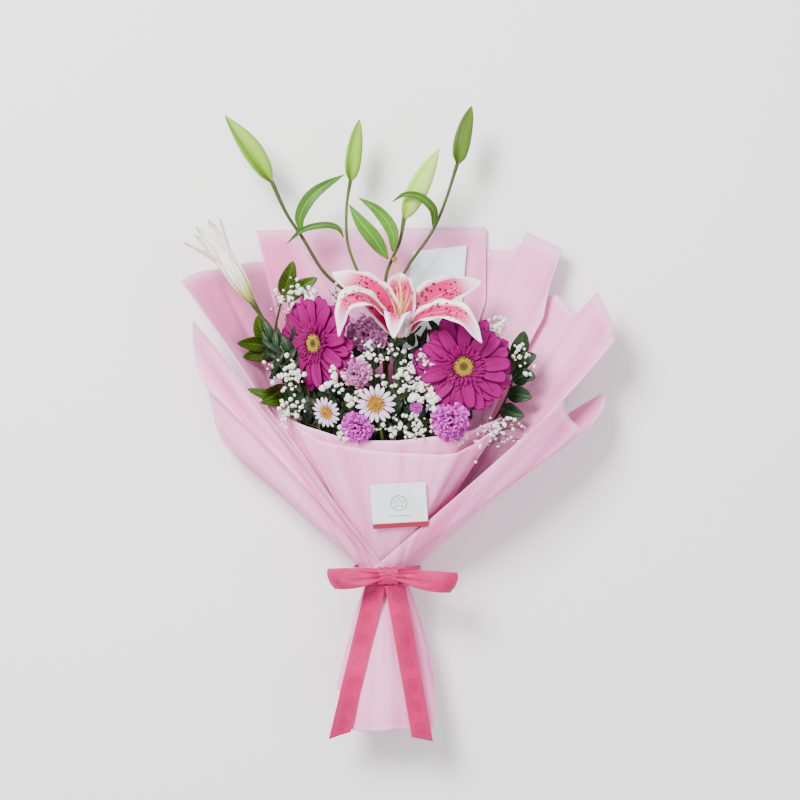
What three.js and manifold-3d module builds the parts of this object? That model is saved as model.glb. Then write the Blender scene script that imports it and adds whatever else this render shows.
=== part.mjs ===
// Wrapped bouquet of lilies, lying on its back: flower heads toward +Y, faces up (+Z).
// Lengths are millimetres. Places are written as (x, t, z): x across the bouquet, t along it
// from the ribbon tie toward the heads, z above the surface that it lies on.
import * as THREE from 'three';
import { mergeVertices } from 'three/addons/utils/BufferGeometryUtils.js';
import Module from 'manifold-3d';

const wasm = await Module();
wasm.setup();

// ---------- driving dimensions ----------
const bouquetWidth = 466;      // across the open paper, tip to tip
const bouquetLength = 685;     // ribbon ends to the tip of the tallest bud
const bouquetDepth = 166;      // resting surface to the highest petal
const sheetThickness = 0.8;    // one paper sheet with its fold allowance
const sheetPitch = 1.5;        // sheet to sheet where the tie gathers them
const stemBundleRadius = 15.5; // all the stems together at the tie
const tieThickness = 1.5;      // raffia under the paper
const ribbonWidth = 22;
const ribbonThickness = 0.8;
const bandHalfLength = 9;      // half of the ribbon band along the stems
const cardWidth = 59;
const cardHeight = 52;
const cardThickness = 0.8;
const gerberaRadius = 52;
const gerberaThickness = 9;
const daisyRadius = 22;
const lilyStalkRadius = 3.2;
const pedicelRadius = 1.8;
const tepalThickness = 1.4;
const tepalCup = 0.22;         // rise of a tepal's rims over its midrib, as a share of its half width
const leafThickness = 0.9;
const blossomRadius = 3.2;     // one baby's breath flower
const stemTail = 132;          // cut ends below the tie
const clearance = 0.4;         // left wherever one piece lies against another
const sliver = 0.03;           // facets thinner than this are merged after a cut

// ---------- the layout's own proportions ----------
const layout = { width: 466, length: 685, depth: 166, bundle: 15.5 };
const across = bouquetWidth / layout.width;
const along = bouquetLength / layout.length;
const upward = bouquetDepth / layout.depth;
const bundled = stemBundleRadius / layout.bundle;
const paperLayers = 11;        // sheets nested inside the ribbon band
const innerPaperRadius = stemBundleRadius + tieThickness + 2 * clearance + 1.2;
const bandInner = innerPaperRadius + sheetPitch * (paperLayers - 1) + 1.4;
const bandOuter = bandInner + 2;
const neckX = -11 * across;
const neckZ = bandOuter + 1;

const at = (x, t, z) => new THREE.Vector3(x * across, t * along, z * upward);
const vec = (x, y, z) => new THREE.Vector3(x, y, z);
const radians = THREE.MathUtils.degToRad;
const lerp = THREE.MathUtils.lerp;
const clamp = THREE.MathUtils.clamp;
const smooth = THREE.MathUtils.smoothstep;

// ---------- solids ----------

// Direction in which a corner shared by several facets moves, so that all of them move by 1.
function mitre(normals) {
  const mean = normals.reduce((sum, normal) => sum.add(normal), vec(0, 0, 0)).normalize();
  const flattest = Math.min(...normals.map((normal) => normal.dot(mean)));
  return mean.divideScalar(Math.max(flattest, 0.4));
}

// Moves every face of an indexed geometry out by `grow`, mitred at its edges and corners.
function moveOut(geometry, grow) {
  const position = geometry.getAttribute('position');
  const faces = Array.from({ length: position.count }, () => []);
  const corner = geometry.index.array;
  const pointAt = (i) => new THREE.Vector3().fromBufferAttribute(position, i);
  for (let i = 0; i < corner.length; i += 3) {
    const [a, b, c] = [corner[i], corner[i + 1], corner[i + 2]];
    const normal = new THREE.Triangle(pointAt(a), pointAt(b), pointAt(c)).getNormal(vec(0, 0, 0));
    [a, b, c].forEach((k) => faces[k].push(normal));
  }
  faces.forEach((normals, i) => {
    const moved = pointAt(i).addScaledVector(mitre(normals), grow);
    position.setXYZ(i, moved.x, moved.y, moved.z);
  });
}

// A closed three.js geometry as a solid, its surface moved out by `grow`.
function solidOf(geometry, grow = 0) {
  const plain = geometry.clone();
  plain.deleteAttribute('normal');
  plain.deleteAttribute('uv');
  const merged = mergeVertices(plain, 1e-3);
  const corner = merged.index.array;
  const triangles = [];
  for (let i = 0; i < corner.length; i += 3) {
    const [a, b, c] = [corner[i], corner[i + 1], corner[i + 2]];
    if (a !== b && b !== c && c !== a) triangles.push(a, b, c);
  }
  merged.setIndex(triangles);
  if (grow > 0) moveOut(merged, grow);
  const position = merged.getAttribute('position');
  return new wasm.Manifold(new wasm.Mesh({
    numProp: 3,
    vertProperties: Float32Array.from(position.array),
    triVerts: Uint32Array.from(triangles),
  }));
}

const joined = (solids) => solids.reduce((whole, next) => whole.add(next));

// Pieces are laid down in order: a later one gives way to the earlier ones that it meets.
const laid = [];

function layDown(name, geometries) {
  let solid = joined(geometries.map((geometry) => solidOf(geometry)));
  const before = solid.volume();
  const box = new THREE.Box3();
  geometries.forEach((geometry) => {
    geometry.computeBoundingBox();
    box.union(geometry.boundingBox);
  });
  const reach = box.clone().expandByScalar(clearance);
  for (const other of laid) {
    if (other.box.intersectsBox(reach)) solid = solid.subtract(other.grown());
  }
  const bodies = solid.simplify(sliver).decompose().sort((a, b) => b.volume() - a.volume());
  const record = { name, box, kept: bodies[0].volume() / before, grownSolid: null };
  record.grown = () => {
    record.grownSolid ??= joined(geometries.map((geometry) => solidOf(geometry, clearance)));
    return record.grownSolid;
  };
  laid.push(record);
  return bodies[0];
}

function geometryOf(solid) {
  const mesh = solid.getMesh();
  const geometry = new THREE.BufferGeometry();
  geometry.setAttribute('position', new THREE.BufferAttribute(mesh.vertProperties, 3));
  geometry.setIndex(new THREE.BufferAttribute(mesh.triVerts, 1));
  geometry.computeVertexNormals();
  return geometry;
}

// ---------- shapes ----------

// A thin slab that follows a surface (u, v) -> Vector3, half its thickness on each side. Both
// faces are split along the same diagonals, so that a twisted slab keeps its thickness.
function bentSlab(surface, columns, rows, thickness) {
  const neighbours = (share, step) => [share - step, share + step]
    .filter((next) => next > -1e-6 && next < 1 + 1e-6).map((next) => clamp(next, 0, 1));
  const upper = [];
  const lower = [];
  for (let j = 0; j <= rows; j += 1) {
    for (let i = 0; i <= columns; i += 1) {
      const [u, v] = [i / columns, j / rows];
      const point = surface(u, v);
      const normals = [];
      for (const nextU of neighbours(u, 1 / columns)) {
        for (const nextV of neighbours(v, 1 / rows)) {
          const alongU = surface(nextU, v).sub(point).multiplyScalar(Math.sign(nextU - u));
          const alongV = surface(u, nextV).sub(point).multiplyScalar(Math.sign(nextV - v));
          normals.push(alongU.cross(alongV).normalize());
        }
      }
      const half = mitre(normals).multiplyScalar(thickness / 2);
      upper.push(point.clone().add(half));
      lower.push(point.clone().sub(half));
    }
  }
  const top = (i, j) => j * (columns + 1) + i;
  const bottom = (i, j) => upper.length + top(i, j);
  const triangles = [];
  const quad = (a, b, c, d) => triangles.push(a, b, d, b, c, d);
  for (let j = 0; j < rows; j += 1) {
    for (let i = 0; i < columns; i += 1) {
      quad(top(i, j), top(i + 1, j), top(i + 1, j + 1), top(i, j + 1));
      quad(bottom(i + 1, j + 1), bottom(i + 1, j), bottom(i, j), bottom(i, j + 1));
    }
    quad(top(0, j), top(0, j + 1), bottom(0, j + 1), bottom(0, j));
    quad(bottom(columns, j), bottom(columns, j + 1), top(columns, j + 1), top(columns, j));
  }
  for (let i = 0; i < columns; i += 1) {
    quad(bottom(i, 0), bottom(i + 1, 0), top(i + 1, 0), top(i, 0));
    quad(top(i, rows), top(i + 1, rows), bottom(i + 1, rows), bottom(i, rows));
  }
  return new THREE.BufferGeometry().setFromPoints([...upper, ...lower]).setIndex(triangles);
}

// A round rod through the points given.
function rod(points, radius, sides = 6, steps = 6) {
  const section = new THREE.Shape();
  for (let i = 0; i < sides; i += 1) {
    const turn = (2 * Math.PI * i) / sides;
    const [x, y] = [radius * Math.cos(turn), radius * Math.sin(turn)];
    if (i === 0) section.moveTo(x, y);
    else section.lineTo(x, y);
  }
  section.closePath();
  const extrudePath = new THREE.CatmullRomCurve3(points);
  return new THREE.ExtrudeGeometry(section, { steps, extrudePath, curveSegments: 1 });
}

// Stands a geometry drawn along +Y on `base`, pointing at `tip`.
function aim(geometry, base, direction) {
  const turn = new THREE.Quaternion().setFromUnitVectors(vec(0, 1, 0), direction.clone().normalize());
  return geometry.applyQuaternion(turn).translate(base.x, base.y, base.z);
}

// A turned shape along +Y. The profile lists (share of the radius, share of the length).
function spindle(profile, radius, length, sides) {
  const points = profile.map(([r, h]) => new THREE.Vector2(r * radius, h * length));
  return new THREE.LatheGeometry(points, sides);
}

// A flower disc facing +Y, its rim drawn in and out into ray petals.
function rayDisc(radius, thickness, rays, dish) {
  const profile = [[0, 0], [0.4, 0], [1, 0.6], [0.98, 0.9], [0.5, 1], [0, 0.9]];
  const disc = spindle(profile, 1, 1, rays * 2);
  const position = disc.getAttribute('position');
  for (let i = 0; i < position.count; i += 1) {
    const [x, z] = [position.getX(i), position.getZ(i)];
    const r = Math.hypot(x, z);
    const turn = Math.atan2(z, x);
    const rim = radius * r * (1 - 0.07 * smooth(r, 0.5, 1) * (1 - Math.cos(turn * rays)));
    position.setXYZ(i, rim * Math.cos(turn), position.getY(i) * thickness + dish * r * r,
      rim * Math.sin(turn));
  }
  return disc;
}

// Smooth curve through evenly spaced values, read at s.
function spline(values, s) {
  const last = values.length - 1;
  const i = clamp(Math.floor(s), 0, last - 1);
  const f = s - i;
  const [a, b] = [values[i], values[i + 1]];
  const before = values[Math.max(i - 1, 0)];
  const after = values[Math.min(i + 2, last)];
  const [slopeA, slopeB] = [(b - before) / 2, (after - a) / 2];
  const [f2, f3] = [f * f, f * f * f];
  return (2 * f3 - 3 * f2 + 1) * a + (f3 - 2 * f2 + f) * slopeA
    + (3 * f2 - 2 * f3) * b + (f3 - f2) * slopeB;
}

// ---------- the scene graph ----------
const bouquet = new THREE.Group();

function subAssembly(name) {
  const group = new THREE.Group();
  group.name = `${name}_group`;
  bouquet.add(group);
  return group;
}

const wrap = subAssembly('wrap');
const ribbon = subAssembly('ribbon');
const lilies = subAssembly('lilies');
const gerberas = subAssembly('gerberas');
const fillers = subAssembly('fillers');

function addPiece(group, name, geometries, colour, roughness = 0.7) {
  const material = new THREE.MeshStandardMaterial({ color: colour, roughness, metalness: 0 });
  const mesh = new THREE.Mesh(geometryOf(layDown(name, geometries)), material);
  mesh.name = name;
  group.add(mesh);
  return mesh;
}

// ---------- paper ----------
const paperPink = 0xecbed5;
const paperWhite = 0xe4ebf3;
const layerRadius = (layer) => innerPaperRadius + sheetPitch * layer;

// Ring of the neck: angle 0 is the front (+Z), 90 the right (+X), -90 the left, 180 the back.
function neckPoint(degrees, radius, y) {
  const turn = radians(degrees);
  return vec(neckX + radius * Math.sin(turn), y, neckZ + radius * Math.cos(turn));
}

// A wrap sheet fans out of the neck along ribs, each
// [neck angle, rim x, rim t, rim z, bulge x, bulge z]; its first row runs through the band.
const fanRows = 6;

function fanSurface(layer, ribs) {
  const radius = layerRadius(layer);
  const last = ribs.length - 1;
  const column = (k) => ribs.map((rib) => rib[k] ?? 0);
  const [angles, rimX, rimT, rimZ, bulgeX, bulgeZ] = [0, 1, 2, 3, 4, 5].map(column);
  return (u, v) => {
    const s = u * last;
    const i = Math.min(Math.floor(s), last - 1);
    const straight = (values) => lerp(values[i], values[i + 1], s - i);
    const row = v * fanRows;
    const angle = straight(angles);
    if (row <= 1) return neckPoint(angle, radius, lerp(1 - bandHalfLength, bandHalfLength, row));
    const out = (row - 1) / (fanRows - 1);
    const swell = 4 * out * (1 - out);
    const rim = at(straight(rimX), straight(rimT), spline(rimZ, s));
    const point = neckPoint(angle, radius, bandHalfLength).lerp(rim, out);
    point.x += swell * across * spline(bulgeX, s);
    point.z += swell * upward * spline(bulgeZ, s);
    return point;
  };
}

// Ribs far apart round the neck get a fold between them, so that nested sheets stay clear.
function fanSheet(surface, ribs) {
  const widest = Math.max(...ribs.slice(1).map((rib, i) => Math.abs(rib[0] - ribs[i][0])));
  const columnsPerRib = widest > 20 ? 2 : 1;
  return bentSlab(surface, columnsPerRib * (ribs.length - 1), fanRows, sheetThickness);
}

const wrapSheets = {
  wrap_front_liner: [2, [[-75, -145, 188, 70, 0, 10], [-60, -120, 172, 85, 0, 10],
    [-45, -97, 162, 98, 0, 10], [-30, -60, 150, 108, 0, 10], [-15, -33, 147, 112, 0, 10],
    [0, 0, 147, 114, 0, 10], [20, 46, 152, 112, 0, 10], [35, 64, 155, 108, 0, 10],
    [50, 82, 158, 102, 0, 10], [65, 112, 172, 88, 0, 8]]],
  wrap_back: [3, [[-130, -130, 270, 16, 0, 3], [-145, -156, 377, 10, 0, 3],
    [-160, -80, 379, 6, 0, 3], [-180, 20, 380, 6, 0, 3], [-195, 98, 381, 7, 0, 3],
    [-210, 98, 300, 9, 0, 3]]],
  wrap_front_panel: [4, [[-52, -109, 162, 96, 0, 15], [-40, -83, 147, 106, 0, 15],
    [-25, -56, 141, 112, 0, 15], [-10, -29, 137, 116, 0, 15], [5, 3, 134, 118, 0, 15],
    [22, 46, 132, 117, 0, 15], [35, 62, 134, 114, 0, 15], [45, 80, 142, 108, 0, 15],
    [55, 109, 163, 97, 0, 13]]],
  wrap_left_inner: [5, [[-170, -60, 320, 2.2, 0, -3], [-155, -120, 340, 4, 0, -3],
    [-135, -157, 343, 9, 0, -5], [-110, -197, 333, 40, -5, 0], [-85, -216, 328, 70, 0, 6],
    [-70, -231, 318, 95, 8, 20]]],
  wrap_right_back: [6, [[170, 40, 345, 4, 0, -2], [160, 98, 356, 4, 0, -2], [150, 127, 355, 8],
    [146, 138, 362, 12], [142, 143, 375, 14], [130, 181, 356, 30], [118, 167, 316, 38],
    [112, 160, 280, 42]]],
  wrap_right_inner: [7, [[150, 110, 300, 2, 0, -2], [135, 150, 300, 14], [120, 175, 305, 32],
    [110, 197, 283, 46], [104, 218, 307, 56], [96, 231, 278, 72, 0, 5], [60, 235, 255, 80, 0, 20]]],
  wrap_left_outer: [8, [[-10, -150, 200, 76, 0, 14], [-25, -206, 206, 50, 0, 10],
    [-40, -197, 163, 47, 0, 8], [-60, -188, 142, 43, 0, 6], [-75, -171, 123, 38, 6, 0],
    [-95, -165, 118, 25], [-115, -140, 130, 10], [-135, -100, 150, 1.5]]],
  wrap_left_band: [9, [[-3, -176, 222, 90, 0, 28], [-10, -187, 238, 88, 0, 26],
    [-13, -203, 257, 80, 0, 24], [-15, -221, 276, 68, 0, 22], [-17, -220, 249, 60, 0, 20],
    [-18, -218, 228, 60, 0, 19], [-19, -212, 214, 63, 4, 20], [-20, -205, 201, 66, 8, 22]]],
  wrap_right_front: [10, [[-25, 178, 190, 93, 0, 30], [-15, 179, 180, 90, 0, 30],
    [-5, 186, 169, 86, 0, 28], [10, 200, 158, 78, 0, 25], [30, 215, 167, 66, 0, 18],
    [60, 225, 185, 50, 0, 8], [90, 227, 199, 36], [120, 205, 184, 18], [140, 186, 170, 8],
    [165, 150, 160, 1.5]]],
};
const surfaces = {};
for (const [name, [layer, ribs]] of Object.entries(wrapSheets)) {
  surfaces[name] = fanSurface(layer, ribs);
  addPiece(wrap, name, [fanSheet(surfaces[name], ribs)], paperPink, 0.85);
}

// White sheet standing behind the flowers, just above the back of the wrap.
const whiteCorners = [[-25, 70, 27], [52, 70, 27], [17, 354, 11], [77, 361, 11]];
addPiece(wrap, 'wrap_inner_white', [bentSlab((u, v) => {
  const [a, b, c, d] = whiteCorners.map((corner) => at(...corner));
  return a.lerp(b, u).lerp(c.lerp(d, u), v);
}, 3, 6, sheetThickness)], paperWhite, 0.6);

// Skirt: two half sheets flaring from the tie to a hem that lies on the surface.
const skirtRows = 5;
const hemHalfWidth = 59 * across;
const hemHalfHeight = 37 * upward;

function skirtSection(layer, y) {
  const hemY = -166 * along;
  const share = clamp((-y - bandHalfLength) / (-hemY - bandHalfLength), 0, 1);
  const flare = 0.55 * share + 0.45 * Math.sqrt(share);
  const extra = sheetPitch * layer;
  return {
    halfWidth: lerp(innerPaperRadius, hemHalfWidth, flare) + extra,
    halfHeight: lerp(innerPaperRadius, hemHalfHeight, flare) + extra,
    centreZ: lerp(neckZ, hemHalfHeight + 2 * sheetPitch, flare),
  };
}

function skirtSurface(layer, from, to, hemOf) {
  return (u, v) => {
    const angle = lerp(from, to, u);
    const row = v * skirtRows;
    const top = bandHalfLength - 1;
    const y = row <= 1 ? lerp(top, -bandHalfLength, row)
      : lerp(-bandHalfLength, hemOf(angle) * along, (row - 1) / (skirtRows - 1));
    const { halfWidth, halfHeight, centreZ } = skirtSection(layer, y);
    const turn = radians(angle);
    return vec(neckX + halfWidth * Math.sin(turn), y, centreZ + halfHeight * Math.cos(turn));
  };
}

const frontHem = (angle) => lerp(-166, -124, smooth(Math.abs(angle), 50, 80));
const backHem = (angle) => lerp(-150, -128, smooth(Math.abs(180 - angle), 50, 90));
addPiece(wrap, 'skirt_back', [bentSlab(skirtSurface(0, 80, 280, backHem), 14, skirtRows,
  sheetThickness)], paperPink, 0.85);
addPiece(wrap, 'skirt_front', [bentSlab(skirtSurface(1, -95, 95, frontHem), 14, skirtRows,
  sheetThickness)], paperPink, 0.85);

// ---------- ribbon, card and tie ----------
const ribbonPink = 0xde5d92;

function ring(inner, outer, halfLength, sides) {
  const profile = [[inner, -halfLength], [outer, -halfLength], [outer, halfLength],
    [inner, halfLength], [inner, -halfLength]];
  const points = profile.map(([r, y]) => new THREE.Vector2(r, y));
  return new THREE.LatheGeometry(points, sides).translate(neckX, 0, neckZ);
}

addPiece(ribbon, 'ribbon_band', [ring(bandInner, bandOuter, bandHalfLength, 28)], ribbonPink, 0.4);
addPiece(ribbon, 'stem_tie', [ring(stemBundleRadius + clearance,
  stemBundleRadius + clearance + tieThickness, 5, 16)], 0xb9a27a, 0.9);

const knotHalf = { x: 10, y: ribbonWidth * 0.42, z: 5 };
const knotZ = neckZ + bandOuter + knotHalf.z * 0.9;
addPiece(ribbon, 'ribbon_knot', [new THREE.SphereGeometry(1, 10, 6)
  .scale(knotHalf.x, knotHalf.y, knotHalf.z).translate(neckX + 1, 1, knotZ)], ribbonPink, 0.4);

// A bow loop runs out from the knot, round its end and back beneath itself.
function bowLoop(reach, endY, lift) {
  const side = Math.sign(reach);
  const stations = [
    [side * 4, 0, 1.5], [reach * 0.45, endY * 0.35, lift], [reach * 0.85, endY * 0.85, lift * 0.8],
    [reach, endY, 0], [reach * 0.82, endY * 0.9, -lift * 0.3], [reach * 0.4, endY * 0.4, -1.5],
    [side * 4, 0, -1.5],
  ];
  const curve = new THREE.CatmullRomCurve3(stations
    .map(([x, y, z]) => vec(neckX + 1 + x, 1 + y, knotZ + 1.5 + z)));
  return (u, v) => {
    const point = curve.getPoint(v);
    const spread = smooth(1 - Math.abs(2 * v - 1), 0, 0.5);
    point.y += (u - 0.5) * lerp(ribbonWidth * 0.5, ribbonWidth, spread);
    return point;
  };
}

addPiece(ribbon, 'ribbon_loop_left', [bentSlab(bowLoop(-64, -3, 9), 2, 12, ribbonThickness)],
  ribbonPink, 0.4);
addPiece(ribbon, 'ribbon_loop_right', [bentSlab(bowLoop(74, -7, 9), 2, 12, ribbonThickness)],
  ribbonPink, 0.4);

// A tail lies on the front of the skirt and hangs past its hem, its end cut on the slant.
function tailSurface(startX, endX, endT, slant, lift) {
  return (u, v) => {
    const y = lerp(-bandHalfLength - 1, (endT + slant * (u - 0.5)) * along, v);
    const share = y / (endT * along);
    const x = lerp(startX, endX, share) * across + (u - 0.5) * ribbonWidth;
    const { halfWidth, halfHeight, centreZ } = skirtSection(1, y);
    const offset = clamp((x - neckX) / halfWidth, -0.85, 0.85);
    const knotRise = 14 * Math.exp(-(-y - bandHalfLength) / 14);
    return vec(x, y, centreZ + halfHeight * Math.sqrt(1 - offset * offset) + lift + knotRise);
  };
}

const tailLift = sheetThickness + ribbonThickness + clearance + 1;
addPiece(ribbon, 'ribbon_tail_left', [bentSlab(tailSurface(-21, -62, -172, 9, tailLift), 2, 12,
  ribbonThickness)], ribbonPink, 0.4);
addPiece(ribbon, 'ribbon_tail_right', [bentSlab(tailSurface(-4, 27, -175, -6, tailLift + 2), 2, 12,
  ribbonThickness)], ribbonPink, 0.4);

// The card lies flat on the front panel, its face turned the way that the paper slopes.
function cardOn(surface, x, t, tilt) {
  const target = at(x, t, 0);
  let best = { distance: Infinity };
  for (let i = 0; i <= 60; i += 1) {
    for (let j = 10; j <= 60; j += 1) {
      const [u, v] = [i / 60, j / 60];
      const point = surface(u, v);
      const distance = Math.hypot(point.x - target.x, point.y - target.y);
      if (distance < best.distance) best = { distance, point, u, v };
    }
  }
  const { point, u, v } = best;
  const right = surface(u + 0.08, v).sub(surface(u - 0.08, v)).normalize();
  const up = surface(u, v + 0.1).sub(surface(u, v - 0.1)).normalize();
  const face = right.clone().cross(up).normalize();
  const frame = new THREE.Matrix4().makeBasis(right, face.clone().cross(right), face);
  const toCard = frame.clone().invert();
  let rise = 0;
  for (let i = 0; i <= 60; i += 1) {
    for (let j = 10; j <= 60; j += 1) {
      const local = surface(i / 60, j / 60).sub(point).applyMatrix4(toCard);
      const inside = Math.abs(local.x) < cardWidth * 0.6 && Math.abs(local.y) < cardHeight * 0.6;
      if (inside) rise = Math.max(rise, local.z);
    }
  }
  const lift = rise + sheetThickness / 2 + cardThickness / 2 + clearance;
  return new THREE.BoxGeometry(cardWidth, cardHeight, cardThickness)
    .rotateZ(radians(tilt)).applyMatrix4(frame)
    .translate(point.x + face.x * lift, point.y + face.y * lift, point.z + face.z * lift);
}

addPiece(ribbon, 'gift_card', [cardOn(surfaces.wrap_front_panel, 2, 74, 5)], 0xdce6eb, 0.5);

// ---------- lilies ----------
const lilyBase = at(3, 258, 98);
const lilyTilt = radians(35);
const lilyAxis = vec(0, Math.cos(lilyTilt), Math.sin(lilyTilt));
const lilyFront = vec(0, -Math.sin(lilyTilt), Math.cos(lilyTilt));

// Place in the bloom: r out from the axis at an angle from the right toward the front, h up it.
function inBloom(degrees, r, h) {
  const turn = radians(degrees);
  return lilyBase.clone().addScaledVector(lilyAxis, h)
    .add(vec(1, 0, 0).multiplyScalar(r * Math.cos(turn)))
    .addScaledVector(lilyFront, r * Math.sin(turn));
}

// A tepal bends in one plane through the axis, along a profile of (r, h). Its inner face turns
// up toward the light by `lean`.
function tepal(degrees, width, lean, profile) {
  const curve = new THREE.CatmullRomCurve3(profile.map(([r, h]) => inBloom(degrees, r, h)));
  const turn = radians(degrees);
  const plane = vec(-Math.sin(turn), 0, 0).addScaledVector(lilyFront, Math.cos(turn));
  return bentSlab((u, v) => {
    const s = 2 * u - 1;
    const half = (width / 2) * (0.16 + 0.84 * Math.sin(Math.PI * Math.pow(v, 0.85)) ** 0.8);
    const ahead = curve.getTangent(v);
    const inward = plane.clone().cross(ahead).add(vec(0, 0, lean));
    const side = ahead.clone().cross(inward).normalize();
    const rim = side.clone().cross(ahead);
    return curve.getPoint(v).addScaledVector(side, s * half)
      .addScaledVector(rim, tepalCup * s * s * half);
  }, 4, 8, tepalThickness);
}

const tepals = {
  lily_tepal_front: [98, 27, 0, [[8, 3], [13, 26], [24, 44], [38, 46], [50, 30]]],
  lily_tepal_left_front: [154, 30, 0.3, [[9, 3], [17, 30], [42, 60], [62, 60], [72, 20]]],
  lily_tepal_right_front: [30, 31, 0.3, [[9, 3], [18, 26], [44, 45], [74, 50], [99, 24]]],
  lily_tepal_left_back: [210, 38, 0.6, [[9, 3], [15, 22], [44, 46], [84, 54]]],
  lily_tepal_right_back: [-30, 38, 0.6, [[9, 3], [16, 20], [54, 38], [102, 37]]],
  lily_tepal_back: [-90, 31, 0.5, [[8, 3], [12, 22], [36, 40], [64, 40]]],
};
for (const [name, [degrees, width, lean, profile]] of Object.entries(tepals)) {
  addPiece(lilies, name, [tepal(degrees, width, lean, profile)], 0xf07ca0, 0.5);
}

const filaments = [0, 1, 2, 3, 4, 5].map((i) => {
  const turn = 60 * i + 15;
  return rod([inBloom(turn, 2, 5), inBloom(turn, 5, 30), inBloom(turn, 14, 58)], 0.9, 4, 3);
});
filaments.push(aim(new THREE.CylinderGeometry(4, 4, 4, 8), inBloom(0, 0, 6), lilyAxis));
addPiece(lilies, 'lily_pistil', [rod([inBloom(0, 0, 9), inBloom(-60, 3, 50), inBloom(-120, 12, 92)],
  1.1, 5, 5), aim(new THREE.SphereGeometry(2.6, 8, 6), inBloom(-120, 12, 92), lilyAxis)], 0xdfe3a0);
addPiece(lilies, 'lily_stamens', filaments, 0xebd796);

const budProfile = [[0, 0], [0.42, 0.02], [0.72, 0.16], [0.96, 0.42], [1, 0.62], [0.78, 0.84],
  [0.36, 0.97], [0, 1]];

function bud(base, tip, width) {
  const reach = tip.clone().sub(base);
  return aim(spindle(budProfile, width / 2, reach.length(), 8), base, reach);
}

const buds = {
  lily_bud_left: [[-136.5, 427, 62], [-186, 497, 66], 21],
  lily_bud_centre: [[-50.5, 428, 52], [-41, 494.5, 54], 16],
  lily_bud_pale: [[7.5, 386, 72], [45, 460, 78], 21.5],
  lily_bud_right: [[65.6, 446, 60], [80.6, 508.5, 60], 17.5],
};
for (const [name, [base, tip, width]] of Object.entries(buds)) {
  addPiece(lilies, name, [bud(at(...base), at(...tip), width)], 0x9cbe5c, 0.5);
}

// Half-open flower: five narrow tepals parting at their tips.
const halfOpenBase = at(-156, 294.6, 82);
const halfOpenTips = [[-229, 361, 92], [-214, 374, 104], [-201, 382, 96], [-192, 383, 84]];
addPiece(lilies, 'lily_bud_half_open', halfOpenTips.map((tip) => bud(halfOpenBase, at(...tip), 23)),
  0xf2efe6, 0.5);

// ---------- gerberas, daisies and carnations ----------
const faceOf = (turnLeft, turnDown) => vec(-Math.sin(radians(turnLeft)), -Math.sin(radians(turnDown)),
  Math.cos(radians(turnLeft))).normalize();

const heads = {
  gerbera_head_right: { place: [70, 226, 108], face: faceOf(-4, 4), radius: gerberaRadius, rays: 18 },
  gerbera_head_left: { place: [-86, 251, 86], face: faceOf(42, 4), radius: gerberaRadius, rays: 18 },
};
for (const [name, { place, face, radius, rays }] of Object.entries(heads)) {
  const disc = rayDisc(radius, gerberaThickness, rays, 9);
  addPiece(gerberas, name, [aim(disc, at(...place), face)], 0xb81f8a, 0.7);
}

const daisies = {
  daisy_head_centre: { place: [-22.6, 186, 126], face: faceOf(3, 14), radius: daisyRadius },
  daisy_head_left: { place: [-75, 177, 110], face: faceOf(30, 22), radius: daisyRadius * 0.8 },
};
for (const [name, { place, face, radius }] of Object.entries(daisies)) {
  addPiece(fillers, name, [aim(rayDisc(radius, 6, 13, 2), at(...place), face)], 0xefe2ee, 0.7);
}

// A carnation head: a ball with a ruffled crown.
function ruffledBall(radius) {
  const ball = new THREE.IcosahedronGeometry(radius, 1);
  const position = ball.getAttribute('position');
  for (let i = 0; i < position.count; i += 1) {
    const point = vec(position.getX(i), position.getY(i), position.getZ(i));
    const ruffle = Math.sin(point.x * 7 / radius) * Math.cos(point.y * 8 / radius);
    point.multiplyScalar(1 + 0.06 * ruffle);
    position.setXYZ(i, point.x, point.y, point.z * 0.8);
  }
  return ball;
}

const carnations = {
  carnation_head_upper: [[-33, 262, 92], 19],
  carnation_head_mid: [[-43, 219, 116], 14],
  carnation_head_hidden: [[20, 222, 96], 12],
  carnation_head_low: [[-42, 163, 118], 15],
  carnation_head_right: [[56, 168, 120], 18],
  carnation_bud: [[20, 183, 122], 8],
};
for (const [name, [place, radius]] of Object.entries(carnations)) {
  const [x, y, z] = at(...place).toArray();
  addPiece(fillers, name, [ruffledBall(radius).translate(x, y, z)], 0xdd8ad0, 0.8);
}

// ---------- stems ----------

// Every stem has its own slot (x, z from the bundle's centre) where the tie grips the bundle.
function stem(slot, radius, ...beyond) {
  const [x, z] = slot.map((value) => value * bundled);
  const spread = 1.55;
  const held = [vec(neckX + x * spread, -stemTail * along, neckZ - 2 + z * spread),
    vec(neckX + x, -12, neckZ + z), vec(neckX + x, 12, neckZ + z)];
  return rod([...held, ...beyond.map((point) => at(...point))], radius, 6, 8);
}

const branch = (radius, ...points) => rod(points.map((point) => at(...point)), radius, 5, 5);
const stemGreen = 0x6e7350;

addPiece(lilies, 'lily_stalk', [
  stem([0.5, -4], lilyStalkRadius, [-10, 120, 48], [-13, 240, 54], [-14, 300, 48]),
  branch(pedicelRadius, [-13, 280, 50], [-75, 324, 54], [-104, 368, 58], [-120, 392, 60], [-136, 426, 62]),
  branch(pedicelRadius, [-14, 265, 51], [-44, 332, 48], [-54, 362, 50], [-55, 400, 51], [-50.8, 428, 52]),
  branch(pedicelRadius, [-14, 290, 49], [-12, 325, 56], [-4, 346, 62], [3, 362, 67], [7.5, 386, 72]),
  branch(pedicelRadius, [-14, 275, 50], [8.6, 330, 50], [38, 373, 54], [52, 405, 57], [65.4, 446, 60]),
  branch(2.4, [-13, 222, 54], [-8, 240, 76], [3, 257, 98]),
], stemGreen);
addPiece(lilies, 'lily_stalk_left', [stem([-11, -0.3], 2.8, [-62, 120, 46], [-108, 210, 40],
  [-128, 248, 48], [-156.5, 296, 82])], stemGreen);
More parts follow.
